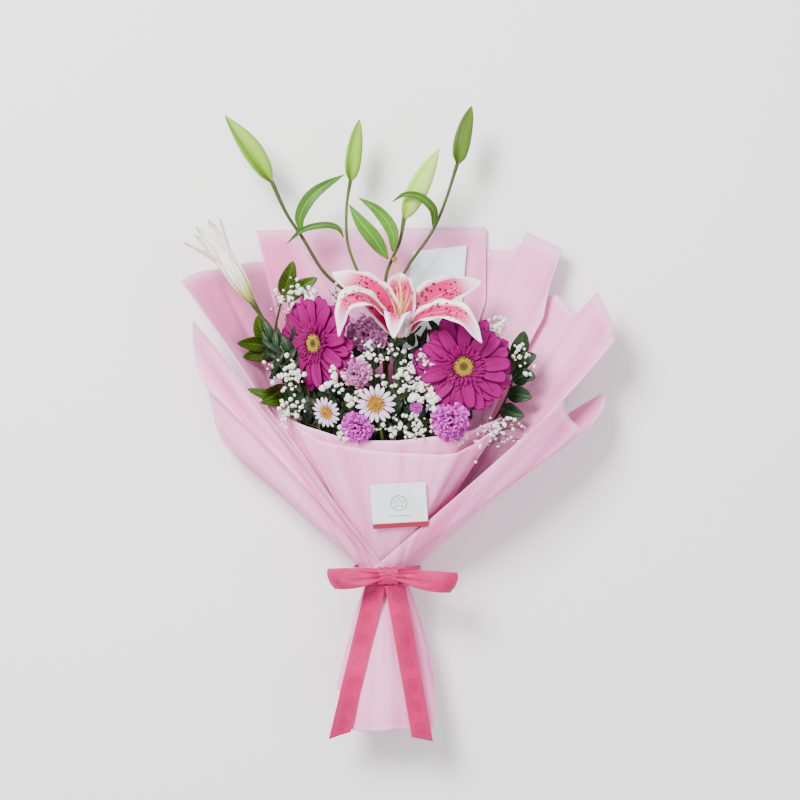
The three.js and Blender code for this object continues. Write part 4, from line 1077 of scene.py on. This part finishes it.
# ---------- Lily leaves ----------
# Five narrow leaves on the lily's upper stalks, about 75 to 85 mm long, folded along the midrib
# with parallel veins. They bend over under their own weight.


def leaf_part(points, width, rows=26, columns=12, fold=0.25, fullness=0.9, tone=0.5):
    line = sweep_line(points, rows)

    def half_of(v):
        return width / 2 * max(math.sin(math.pi * v**0.8) ** fullness, 0.1 * (1 - v), 0.02)

    return blade_part(line, lambda ahead, v: ahead.cross(Vector((0, 0, 1))), half_of,
                      lambda s, v: fold * abs(s) * half_of(v) + 0.5 * math.sin(7 * v + 3 * s),
                      columns, 0.5, tone)


def leaf_skin(name, light, dark, vein, slant):
    """Satin leaf. `slant` turns the side veins from parallel to the midrib to a feather."""
    material, tree, shader = new_material(name, 0.42, Specular_IOR_Level=0.25)
    flat_uv = node(tree, "ShaderNodeUVMap", {"uv_map": "flat"}).outputs[0]
    split = node(tree, "ShaderNodeSeparateXYZ", _0=flat_uv).outputs
    off_rib = calc(tree, "ABSOLUTE", calc(tree, "MULTIPLY_ADD", split[0], 2.0, -1.0))
    if slant:
        phase = calc(tree, "MULTIPLY_ADD", off_rib, -slant, calc(tree, "MULTIPLY", split[1], 9.0))
    else:
        phase = calc(tree, "MULTIPLY", off_rib, 4.0)
    wave = calc(tree, "SINE", calc(tree, "MULTIPLY", phase, 2 * math.pi))
    side_vein = node(tree, "ShaderNodeMapRange", {"interpolation_type": "SMOOTHSTEP"}, Value=wave,
                     From_Min=0.82, From_Max=1.0, To_Min=0.0, To_Max=0.45).outputs[0]
    rib = calc(tree, "MULTIPLY", calc(tree, "LESS_THAN", off_rib, 0.07), 0.7)
    cloudy = use_group(tree, mottle, Light=light, Dark=dark, Scale=40.0, Amount=0.9)
    tone = node(tree, "ShaderNodeAttribute", {"attribute_name": "tone"}).outputs["Fac"]
    body = blend_colour(tree, calc(tree, "MULTIPLY", tone, 0.6), cloudy["Colour"], dark)
    lines = calc(tree, "MAXIMUM", side_vein, rib)
    tree.links.new(blend_colour(tree, lines, body, vein), shader.inputs["Base Color"])
    relief_of(tree, shader, lines, 0.0004, 0.5)
    return material


lily_leaf_skin = leaf_skin("lily_leaf_skin", linear(84, 140, 30), linear(44, 84, 20),
                           linear(118, 170, 60), 0)
lily_leaves = {
    "lily_leaf_upper_left": (((-103, 370, 66), (-105, 388, 70), (-90, 412, 74), (-56, 434, 72)), 14, 0.8),
    "lily_leaf_narrow": (((-58, 366, 56), (-64, 376, 62), (-77, 379, 67), (-101, 374, 68),
                          (-121, 358, 62)), 7.5, 1.0),
    "lily_leaf_broad": (((-10, 342, 74), (-24, 362, 80), (-40, 382, 80), (-52, 401, 76)), 17, 0.1),
    "lily_leaf_tall": (((-5, 350, 76), (-5, 370, 84), (-20, 392, 84), (-42, 408, 80)), 14, 0.0),
    "lily_leaf_arching": (((39, 376, 60), (39, 394, 80), (25, 407, 92), (8.6, 410, 92),
                           (-6.5, 402, 84)), 9.5, 0.9),
}
for name, (points, width, tone) in lily_leaves.items():
    finish_piece(make_piece(name + "_blade", [leaf_part(points, width, tone=tone)]), lily_leaf_skin,
                 "lily_leaf", name)

# ---------- Gerberas ----------
# Two magenta gerbera heads, 104 to 109 mm across. Each has long outer rays, shorter inner florets,
# a fringe of fine ones, and a button of yellow-green florets round a dark brown middle.


def geometry_tree(name, inputs):
    tree = bpy.data.node_groups.new(name, "GeometryNodeTree")
    tree.interface.new_socket("Geometry", in_out="INPUT", socket_type="NodeSocketGeometry")
    for label, kind in inputs:
        tree.interface.new_socket(label, in_out="INPUT", socket_type=kind)
    tree.interface.new_socket("Geometry", in_out="OUTPUT", socket_type="NodeSocketGeometry")
    entry = tree.nodes.new("NodeGroupInput").outputs
    leave = tree.nodes.new("NodeGroupOutput").inputs
    return tree, entry, leave


def random_value(tree, low, high, seed, shift):
    made = node(tree, "FunctionNodeRandomValue", {"data_type": "FLOAT"})
    made.inputs[2].default_value = low
    made.inputs[3].default_value = high
    tree.links.new(calc(tree, "ADD", seed, shift), made.inputs["Seed"])
    return made.outputs[1]


# A spiral of petals round a flower's axis: the petal comes in as the geometry, lying along +X, and
# each setting runs from its outer to its inner value.
rosette, entry, leave = geometry_tree("rosette", [
    ("Count", "NodeSocketInt"), ("Step", "NodeSocketFloat"), ("Outer Radius", "NodeSocketFloat"),
    ("Inner Radius", "NodeSocketFloat"), ("Outer Tilt", "NodeSocketFloat"),
    ("Inner Tilt", "NodeSocketFloat"), ("Outer Scale", "NodeSocketFloat"),
    ("Inner Scale", "NodeSocketFloat"), ("Outer Height", "NodeSocketFloat"),
    ("Inner Height", "NodeSocketFloat"), ("Wobble", "NodeSocketFloat"), ("Seed", "NodeSocketInt"),
    ("Place", "NodeSocketVector"), ("Facing", "NodeSocketVector"), ("Skin", "NodeSocketMaterial")])
index = node(rosette, "GeometryNodeInputIndex").outputs[0]
rank = calc(rosette, "DIVIDE", index, calc(rosette, "MAXIMUM", calc(rosette, "SUBTRACT",
                                                                    entry["Count"], 1.0), 1.0))


def between(label):
    rise = calc(rosette, "SUBTRACT", entry["Inner " + label], entry["Outer " + label])
    return calc(rosette, "MULTIPLY_ADD", rise, rank, entry["Outer " + label])


wobble = calc(rosette, "MULTIPLY", random_value(rosette, -1.0, 1.0, entry["Seed"], 0), entry["Wobble"])
roll = calc(rosette, "MULTIPLY", random_value(rosette, -1.2, 1.2, entry["Seed"], 1), entry["Wobble"])
size = calc(rosette, "MULTIPLY", between("Scale"), random_value(rosette, 0.92, 1.06, entry["Seed"], 2))
turn = calc(rosette, "MULTIPLY_ADD", index, entry["Step"], calc(rosette, "MULTIPLY", roll, 0.5))
ring = between("Radius")
spot = node(rosette, "ShaderNodeCombineXYZ",
            X=calc(rosette, "MULTIPLY", ring, calc(rosette, "COSINE", turn)),
            Y=calc(rosette, "MULTIPLY", ring, calc(rosette, "SINE", turn)), Z=between("Height"))
points = node(rosette, "GeometryNodePoints", Count=entry["Count"], Position=spot.outputs[0])
tone_store = node(rosette, "GeometryNodeStoreNamedAttribute", {"data_type": "FLOAT", "domain": "POINT"},
                  Geometry=points.outputs[0], Name="tone",
                  Value=random_value(rosette, 0.0, 1.0, entry["Seed"], 3))
rank_store = node(rosette, "GeometryNodeStoreNamedAttribute", {"data_type": "FLOAT", "domain": "POINT"},
                  Geometry=tone_store.outputs[0], Name="rank", Value=rank)
pose = node(rosette, "ShaderNodeCombineXYZ", X=roll, Z=turn,
            Y=calc(rosette, "MULTIPLY", calc(rosette, "ADD", between("Tilt"), wobble), -1.0))
bloom = node(rosette, "GeometryNodeInstanceOnPoints", Points=rank_store.outputs[0],
             Instance=entry["Geometry"], Rotation=pose.outputs[0], Scale=size)
real = node(rosette, "GeometryNodeRealizeInstances", Geometry=bloom.outputs[0])
placed = node(rosette, "GeometryNodeTransform", Geometry=real.outputs[0], Translation=entry["Place"],
              Rotation=entry["Facing"])
dressed = node(rosette, "GeometryNodeSetMaterial", Geometry=placed.outputs[0], Material=entry["Skin"])
rosette.links.new(dressed.outputs[0], leave[0])


def grow(name, tree, source, settings):
    """Runs a geometry tree on the source mesh and keeps the result as the piece's own mesh."""
    piece = bpy.data.objects.new(name, source)
    bpy.context.scene.collection.objects.link(piece)
    modifier = piece.modifiers.new(name, "NODES")
    modifier.node_group = tree
    for item in tree.interface.items_tree:
        if item.in_out == "INPUT" and item.name in settings:
            modifier[item.identifier] = settings[item.name]
    grown = piece.evaluated_get(bpy.context.evaluated_depsgraph_get())
    mesh = bpy.data.meshes.new_from_object(grown)
    piece.modifiers.clear()
    piece.data = mesh
    mesh.name = name
    return piece


def local_petal(name, *parts):
    """A petal's mesh about its own base rather than in the bunch's frame."""
    piece = make_piece(name, parts)
    mesh = piece.data
    mesh.transform(Matrix.Translation(-origin))
    bpy.data.objects.remove(piece)
    return mesh


def ray_part(length, width, droop, cup, notch=0.0, rows=14, columns=8, pointed=0.75):
    """A ray petal along +X, its tip rounded or notched and its length grooved."""
    line = sweep_line([(0, 0, 0), (length * 0.5, 0, length * 0.05), (length, 0, -droop)], rows)

    def half_of(v):
        return width / 2 * max((0.34 + 0.66 * smooth(v, 0, 0.55)) * (1 - v**6) ** pointed, 0.04)

    def rise(s, v):
        groove = 0.03 * width * math.cos(3 * math.pi * s)
        return cup * s * s * half_of(v) + groove + notch * math.sin(6 * s + 5 * v) * v

    return blade_part(line, lambda ahead, v: ahead.cross(Vector((0, 0, 1))), half_of, rise, columns,
                      0.5)


def petal_skin(name, foot, body, tip, dark, roughness=0.5):
    """Soft petal: its colour runs from foot to tip, with fine lines along it, and varies by petal."""
    material, tree, shader = new_material(name, roughness, Specular_IOR_Level=0.12)
    flat_uv = node(tree, "ShaderNodeUVMap", {"uv_map": "flat"}).outputs[0]
    split = node(tree, "ShaderNodeSeparateXYZ", _0=flat_uv).outputs
    tone = node(tree, "ShaderNodeAttribute", {"attribute_name": "tone"}).outputs["Fac"]
    colour = ramp(tree, split[1], (0.0, foot), (0.4, body), (1.0, tip))
    veins = node(tree, "ShaderNodeTexWave", {"bands_direction": "X"}, Vector=flat_uv, Scale=4.0,
                 Distortion=1.2, Detail=2.0).outputs["Fac"]
    colour = blend_colour(tree, calc(tree, "MULTIPLY", veins, 0.3), colour, dark)
    colour = blend_colour(tree, calc(tree, "MULTIPLY", tone, 0.45), colour, dark)
    tree.links.new(colour, shader.inputs["Base Color"])
    relief_of(tree, shader, veins, 0.0004, 0.4)
    return material


def facing(turn_left, turn_down, spin=0.0):
    """Euler angles that turn a head's axis from +Z to the way that it faces."""
    face = Vector((-math.sin(math.radians(turn_left)), -math.sin(math.radians(turn_down)),
                   math.cos(math.radians(turn_left)))).normalized()
    return (face.to_track_quat("Z", "Y") @ Matrix.Rotation(spin, 3, "Z").to_quaternion()).to_euler()


golden = math.pi * (3 - math.sqrt(5))
gerbera_skin = petal_skin("gerbera_skin", linear(92, 0, 60), linear(140, 0, 96),
                          linear(164, 0, 120), linear(92, 0, 58))
fringe_skin = petal_skin("gerbera_fringe_skin", linear(78, 0, 50), linear(128, 0, 86),
                         linear(220, 50, 150), linear(92, 0, 58))
button_skin, tree, shader = new_material("gerbera_button_skin", 0.6)
rank_read = node(tree, "ShaderNodeAttribute", {"attribute_name": "rank"}).outputs["Fac"]
tree.links.new(ramp(tree, rank_read, (0.0, linear(156, 140, 24)), (0.5, linear(168, 148, 34)),
                    (0.66, linear(98, 66, 4)), (1.0, linear(56, 36, 6))),
               shader.inputs["Base Color"])

gerbera_ray = local_petal("gerbera_ray", ray_part(43, 17, 3.0, 0.12, 0.6, pointed=0.42))
gerbera_inner = local_petal("gerbera_inner", ray_part(17, 4.6, 0.5, 0.3, rows=8, columns=4))
gerbera_thread = local_petal("gerbera_thread", ray_part(8.5, 1.3, -0.6, 0.1, rows=4, columns=2))
floret = local_petal("floret", tube_part([(0, 0, 0), (1.2, 0, 0), (2.2, 0, 0)],
                                         lambda s: 0.55 + 0.25 * math.sin(math.pi * s), 6, 4))
# rows: name, petal, count, radii, tilts, scales, heights, wobble, skin
gerbera_rings = [
    ("rays", gerbera_ray, 36, (10, 8), (0.02, 0.24), (1.06, 0.92), (0, 3.5), 0.07, gerbera_skin),
    ("inner", gerbera_inner, 90, (11, 8), (0.16, 0.65), (1.05, 0.7), (3.5, 5), 0.12, gerbera_skin),
    ("fringe", gerbera_thread, 260, (15, 8.5), (0.35, 1.15), (1.3, 0.8), (4.5, 6), 0.22, fringe_skin),
    ("button", floret, 210, (9.4, 0.4), (0.9, 1.5), (1.25, 0.95), (5.5, 6.2), 0.12, button_skin),
]


def rosette_piece(name, source, count, radii, tilts, scales, heights, wobble, skin, place, face,
                  size=1.0, seed=1, step=golden):
    settings = {
        "Count": count, "Step": step, "Outer Radius": radii[0] * size / 1000,
        "Inner Radius": radii[1] * size / 1000, "Outer Tilt": tilts[0], "Inner Tilt": tilts[1],
        "Outer Scale": scales[0] * size, "Inner Scale": scales[1] * size,
        "Outer Height": heights[0] * size / 1000, "Inner Height": heights[1] * size / 1000,
        "Wobble": wobble, "Seed": seed, "Place": at(*place), "Facing": face, "Skin": skin}
    return grow(name, rosette, source.copy(), settings)


gerbera_heads = {"gerbera_head_right": ((70, 226, 110), facing(-4, 4, 0.3), 1.0, 3),
                 "gerbera_head_left": ((-85, 251, 88), facing(42, 4, 1.1), 0.98, 8)}
for name, (place, face, size, seed) in gerbera_heads.items():
    for ring_name, source, *shape, skin in gerbera_rings:
        piece = rosette_piece(f"{name}_{ring_name}", source, *shape, skin, place, face, size, seed)
        finish_piece(piece, None, "gerbera_magenta", name)

# ---------- Daisies ----------
# Two small spray daisies, white tinged with lilac, with notched narrow rays round a raised yellow
# button of tiny florets.

daisy_skin = petal_skin("daisy_skin", linear(188, 158, 188), linear(242, 224, 242),
                        linear(252, 244, 252), linear(194, 150, 194))
daisy_button, tree, shader = new_material("daisy_button_skin", 0.65)
rank_read = node(tree, "ShaderNodeAttribute", {"attribute_name": "rank"}).outputs["Fac"]
tree.links.new(ramp(tree, rank_read, (0.0, linear(216, 152, 34)), (0.7, linear(182, 126, 18)),
                    (1.0, linear(96, 70, 16))), shader.inputs["Base Color"])
daisy_ray = local_petal("daisy_ray", ray_part(14.5, 5.2, 0.8, 0.3, 0.25, rows=10, columns=6))
daisy_heads = {"daisy_head_centre": ((-22.6, 186, 127), facing(3, 14, 0.2), 1.0, 5),
               "daisy_head_left": ((-75, 177, 111), facing(30, 22, 0.9), 0.8, 6)}
daisy_rings = [
    ("rays", daisy_ray, 17, (7, 7), (0.05, 0.12), (1.0, 0.98), (0, 0.6), 0.06, daisy_skin,
     2 * math.pi / 17),
    ("button", floret, 130, (8.2, 0.3), (0.7, 1.5), (1.0, 0.9), (0.5, 3.0), 0.12, daisy_button, golden),
]
for name, (place, face, size, seed) in daisy_heads.items():
    for ring_name, source, *shape, skin, step in daisy_rings:
        piece = rosette_piece(f"{name}_{ring_name}", source, *shape, skin, place, face, size, seed,
                              step)
        finish_piece(piece, None, "daisy_petal", name)

# ---------- Spray carnations ----------
# Small lilac-pink carnations with ruffled, saw-edged petals packed into a ball, and a closed bud.


def ruffled_part(length, width):
    line = sweep_line([(0, 0, 0), (length * 0.5, 0, length * 0.02), (length, 0, -length * 0.1)], 12)

    def half_of(v):
        return width / 2 * (0.12 + 0.88 * smooth(v, 0.1, 0.95)) * (1 - 0.35 * smooth(v, 0.85, 1))

    def rise(s, v):
        return (0.14 * length * math.sin(7.5 * s + 0.7) * smooth(v, 0.3, 1)
                + 0.3 * s * s * half_of(v))

    points, faces, grid, tones = blade_part(
        line, lambda ahead, v: ahead.cross(Vector((0, 0, 1))), half_of, rise, 14, 0.35)
    saw = [0.05 * length * (1 if round(u * 14) % 2 else -1) * (v > 0.96) for u, v in grid]
    points = [point + Vector((cut, 0, 0)) for point, cut in zip(points, saw)]
    return points, faces, grid, tones


carnation_skin = petal_skin("carnation_skin", linear(140, 10, 104), linear(196, 24, 176),
                            linear(248, 112, 238), linear(150, 8, 130))
dusky_skin = petal_skin("carnation_dusky_skin", linear(140, 40, 112), linear(198, 92, 172),
                        linear(242, 170, 220), linear(134, 44, 112))
carnation_petal = local_petal("carnation_petal", ruffled_part(14.5, 17))
carnations = {
    "carnation_head_upper": ((-33, 262, 88), facing(8, 10, 0.4), 20, 30, 11, dusky_skin),
    "carnation_head_mid": ((-43, 219, 111), facing(12, 12, 1.2), 14.5, 22, 12, dusky_skin),
    "carnation_head_hidden": ((20, 222, 92), facing(-8, 10, 0.8), 12, 22, 13, carnation_skin),
    "carnation_head_low": ((-42, 163, 114), facing(14, 24, 0.1), 16, 24, 14, carnation_skin),
    "carnation_head_right": ((56, 168, 115), facing(-10, 20, 2.0), 19, 28, 15, carnation_skin),
    "carnation_bud": ((20, 183, 120), facing(0, 12, 0.5), 8, 16, 16, carnation_skin),
}
for name, (place, face, radius, count, seed, skin) in carnations.items():
    tilts = (0.15, 1.45) if name != "carnation_bud" else (0.9, 1.5)
    piece = rosette_piece(name + "_petals", carnation_petal, count, (1.8, 0.6), tilts, (1.0, 0.7),
                          (0, 3.2), 0.16, skin, place, face, radius / 14, seed)
    finish_piece(piece, None, "carnation_lilac", name)

# ---------- Foliage ----------
# Two leafy stems fill the sides. The left one has rounded mid-green leaves; the right one's are dark and
# glossy. Narrow dark leaves packed under the flowers are painted shade:
# they darken the gaps between the heads.

mid_green = leaf_skin("foliage_green_skin", linear(62, 92, 8), linear(32, 50, 8),
                      linear(96, 126, 32), 1.6)
deep_green = leaf_skin("foliage_dark_skin", linear(34, 60, 30), linear(14, 28, 16),
                       linear(54, 84, 46), 1.6)
foliage = {
    "foliage_left": ((-10.6, -7.4), ((-64, 110, 28), (-116, 200, 26), (-134, 252, 30),
                                     (-124, 308, 48)), 19, mid_green, "foliage_green", (
        ((-125, 304, 46), (-118, 320, 62), (-112, 340, 72)),
        ((-127, 300, 44), (-108, 310, 62), (-86, 322, 68)),
        ((-134, 246, 29), (-150, 250, 58), (-172, 251, 84)),
        ((-133, 238, 28), (-146, 240, 52), (-166, 236, 78)),
        ((-134, 256, 30), (-147, 264, 44), (-152, 282, 50)),
        ((-117, 202, 26), (-140, 196, 98), (-160, 202, 108)),
        ((-115, 197, 26), (-129, 190, 90), (-146, 187, 108)))),
    "foliage_right": ((9.5, -3.8), ((60, 110, 50), (106, 170, 68), (124, 210, 76),
                                    (126, 240, 80)), 19, deep_green, "foliage_dark", (
        ((126, 236, 80), (132, 248, 88), (136, 264, 92)),
        ((125, 226, 78), (138, 234, 90), (149, 238, 94)),
        ((124, 212, 76), (138, 216, 88), (148, 214, 92)),
        ((119, 196, 72), (132, 196, 84), (144, 192, 90)),
        ((124, 218, 76), (116, 232, 88), (114, 252, 92)),
        ((112, 182, 70), (124, 176, 84), (136, 172, 90)))),
}
for name, (slot_at_tie, spine, width, skin, slot_name, leaves) in foliage.items():
    parts = [held_stem(slot_at_tie, lambda s: 2.0 - 0.8 * s, *spine, tone=0.4)]
    parts += [leaf_part(points, width, 20, 12, 0.18, 0.62, 0.2 + 0.1 * (k % 4))
              for k, points in enumerate(leaves)]
    finish_piece(make_piece(name + "_leaves", parts), skin, slot_name, name)

# Painted shade: a bed of dark narrow leaves under the flowers stands in for the deep shade in the gaps
# between the heads.
filler_random = np.random.default_rng(12)
shade_filler = []
# each bed: its running total of leaves, then across, along and height from and to, and left edge
filler_beds = ((200, (-105, 112), (140, 264), (78, 92), 60),
               (280, (-142, -78), (158, 264), (58, 74), 90),
               (340, (12, 104), (144, 208), (80, 92), 60))
while len(shade_filler) < filler_beds[-1][0]:
    bed = next(bed for bed in filler_beds if len(shade_filler) < bed[0])
    x, t, z = (filler_random.uniform(*span) for span in bed[1:4])
    beside_head = z > 75 and (Vector((x, t)) - Vector((-86, 251))).length < 46
    if beside_head or not -bed[4] < x + 0.45 * (t - 140) * (1 if x < 0 else -1) < 60:
        continue
    heading = math.radians(filler_random.uniform(30, 150))
    reach = filler_random.uniform(24, 40)
    step_out = Vector((math.cos(heading) * reach, math.sin(heading) * reach, 0))
    foot = Vector((x, t, z)) - step_out * 0.5
    shade_filler.append(leaf_part((foot, foot + step_out * 0.5 + Vector((0, 0, 7)),
                             foot + step_out + Vector((0, 0, 3))),
                            filler_random.uniform(7, 12), 8, 4, 0.3, 0.8, filler_random.uniform(0.2, 1)))
finish_piece(make_piece("carnation_foliage", shade_filler), deep_green, "foliage_dark",
             "carnation_spray_right")

# ---------- Baby's breath ----------
# Three sprays fill the gaps between the flowers. Each branches from one stem into thread-like
# green twigs, and every twig ends in a small white double flower or a bud, about 2 to 8 mm
# across.

spray_tree, entry, leave = geometry_tree("spray", [
    ("Twig Radius", "NodeSocketFloat"), ("Blossom", "NodeSocketObject"), ("Seed", "NodeSocketInt"),
    ("Twig Skin", "NodeSocketMaterial"), ("Blossom Skin", "NodeSocketMaterial")])
strands = node(spray_tree, "GeometryNodeMeshToCurve", Mesh=entry["Geometry"])
section = node(spray_tree, "GeometryNodeCurvePrimitiveCircle", Resolution=4, Radius=entry["Twig Radius"])
twigs = node(spray_tree, "GeometryNodeCurveToMesh", _0=strands.outputs[0],
             Profile_Curve=section.outputs[0])
twigs = node(spray_tree, "GeometryNodeSetMaterial", Geometry=twigs.outputs[0],
             Material=entry["Twig Skin"])
tip_read = node(spray_tree, "GeometryNodeInputNamedAttribute", {"data_type": "FLOAT"}, Name="tip")
tip_size = tip_read.outputs[0]
blossom_in = node(spray_tree, "GeometryNodeObjectInfo", Object=entry["Blossom"])
spin = node(spray_tree, "ShaderNodeCombineXYZ", X=random_value(spray_tree, 0.0, 6.3, entry["Seed"], 0),
            Y=random_value(spray_tree, 0.0, 6.3, entry["Seed"], 1),
            Z=random_value(spray_tree, 0.0, 6.3, entry["Seed"], 2))
flowering = node(spray_tree, "GeometryNodeInstanceOnPoints", Points=entry["Geometry"],
                 Selection=calc(spray_tree, "GREATER_THAN", tip_size, 0.0001),
                 Instance=blossom_in.outputs["Geometry"], Rotation=spin.outputs[0], Scale=tip_size)
open_flowers = node(spray_tree, "GeometryNodeRealizeInstances", Geometry=flowering.outputs[0])
open_flowers = node(spray_tree, "GeometryNodeSetMaterial", Geometry=open_flowers.outputs[0],
                    Material=entry["Blossom Skin"])
whole = spray_tree.nodes.new("GeometryNodeJoinGeometry")
spray_tree.links.new(twigs.outputs[0], whole.inputs[0])
spray_tree.links.new(open_flowers.outputs[0], whole.inputs[0])
spray_tree.links.new(whole.outputs[0], leave[0])

# One blossom of radius 1, scaled by each tip: a ball of crumpled petals whose hollows are shaded
# by `crease`.
blossom_mesh = bpy.data.meshes.new("blossom")
ball = bmesh.new()
bmesh.ops.create_icosphere(ball, subdivisions=2, radius=1.0)
crease_layer = ball.verts.layers.float.new("crease")
for vertex in ball.verts:
    ruck = noise.noise(vertex.co * 3.1) + 0.5 * noise.noise(vertex.co * 6.3)
    vertex[crease_layer] = ruck
    vertex.co = vertex.co * (1 + 0.42 * ruck)
ball.to_mesh(blossom_mesh)
ball.free()
blossom_mesh.polygons.foreach_set("use_smooth", [True] * len(blossom_mesh.polygons))
blossom = bpy.data.objects.new("blossom", blossom_mesh)
bpy.context.scene.collection.objects.link(blossom)

blossom_skin, tree, shader = new_material("blossom_skin", 0.75, Specular_IOR_Level=0.15)
# Painted shade: each blossom darkens to grey-green in its hollows, where `crease` is low.
crease = node(tree, "ShaderNodeAttribute", {"attribute_name": "crease"}).outputs["Fac"]
depth = node(tree, "ShaderNodeMapRange", Value=crease, From_Min=-0.5, From_Max=0.35).outputs[0]
tree.links.new(ramp(tree, depth, (0.0, linear(92, 100, 64)), (0.4, linear(206, 206, 190)),
                    (1.0, linear(250, 249, 244))), shader.inputs["Base Color"])
twig_skin, tree, shader = new_material("twig_skin", 0.6)
tree.links.new(use_group(tree, mottle, Light=linear(84, 96, 50), Dark=linear(44, 52, 26),
                         Scale=60.0, Amount=1.0)["Colour"], shader.inputs["Base Color"])


def spray_skeleton(name, hub, clusters, seed):
    """Edges from the hub to every cluster of flowers, with each flower's radius in `tip`."""
    random = np.random.default_rng(seed)
    points, edges, tips = [Vector(hub)], [], [0.0]

    def grow_to(start, place, size=0.0, bend=2.0):
        knee = points[start].lerp(place, 0.5) + Vector(random.normal(0, bend, 3))
        points.extend([knee, place])
        tips.extend([0.0, size])
        edges.extend([(start, len(points) - 2), (len(points) - 2, len(points) - 1)])
        return len(points) - 1

    for centre, half, count, (small, large) in clusters:
        centre, half = Vector(centre), Vector(half)
        fork = grow_to(0, Vector(hub).lerp(centre, 0.62) - Vector((0, 0, 6)), bend=1.5)
        for group in range(max(count // 5, 1)):
            turn, share = random.uniform(0, 2 * math.pi), math.sqrt(random.uniform(0, 0.8))
            joint_place = centre + Vector((half.x * share * math.cos(turn),
                                           half.y * share * math.sin(turn), -7 - 3 * share))
            joint = grow_to(fork, joint_place, bend=1.2)
            for _ in range(5):
                spread = Vector((random.normal(0, 5.2), random.normal(0, 5.2),
                                 7 + random.uniform(-3, 4) + half.z * (1 - share)))
                size = small + (large - small) * random.uniform(0, 1) ** 1.6
                grow_to(joint, joint_place + spread, size, 0.8)
    mesh = bpy.data.meshes.new(name)
    mesh.from_pydata([tuple(point / 1000 + origin) for point in points], edges, [])
    mesh.attributes.new("tip", "FLOAT", "POINT").data.foreach_set("value", [t / 1000 for t in tips])
    return mesh


# name: stem's slot, its line, then clusters as centre, half size, flowers, radius from and to
sprays = {
    "gypsophila_left": ((-6.8, 4), ((-50, 100, 66), (-84, 160, 84)), (
        ((-116, 178, 104), (18, 13, 2), 40, (1.0, 2.7)), ((-116, 222, 100), (25, 18, 4), 55, (1.0, 3.2)),
        ((-122, 297, 84), (10, 20, 3), 30, (0.9, 2.5)), ((-100, 304, 80), (13, 7, 2), 15, (2.0, 4.2)),
        ((-62, 305, 66), (16, 10, 2), 20, (0.8, 1.7)), ((-66, 208, 112), (9, 12, 3), 20, (1.6, 4.0)))),
    "gypsophila_centre": ((-1.2, 2.2), ((-6, 90, 62), (-4, 140, 84)), (
        ((8, 220, 118), (38, 26, 8), 130, (0.9, 3.2)), ((-34, 238, 112), (24, 16, 4), 60, (0.9, 2.8)),
        ((10, 163, 114), (32, 13, 3), 75, (0.9, 2.7)), ((-50, 155, 112), (15, 6, 2), 15, (1.4, 3.4)),
        ((-46, 190, 116), (9, 9, 3), 15, (1.4, 3.4)), ((26, 192, 118), (14, 12, 4), 25, (1.4, 4.0)))),
    "gypsophila_right": ((11.3, 4.3), ((54, 100, 72), (88, 150, 92)), (
        ((104, 270, 96), (13, 11, 3), 30, (1.6, 3.6)), ((130, 230, 92), (11, 20, 3), 30, (1.2, 3.0)),
        ((116, 158, 98), (19, 16, 3), 55, (1.0, 2.6)), ((76, 146, 106), (9, 6, 2), 15, (1.6, 3.4)))),
}
for seed, (name, (slot_at_tie, path, clusters)) in enumerate(sprays.items()):
    stem = held_stem(slot_at_tie, lambda s: 1.5 - 0.7 * s, *path)
    finish_piece(make_piece(name + "_stem", [stem]), green_skin, "gypsophila_white", name)
    piece = grow(name + "_flowers", spray_tree, spray_skeleton(name, path[-1], clusters, seed + 40), {
        "Twig Radius": 0.00032, "Blossom": blossom, "Seed": seed, "Twig Skin": twig_skin,
        "Blossom Skin": blossom_skin})
    finish_piece(piece, None, "gypsophila_white", name)
bpy.data.objects.remove(blossom)
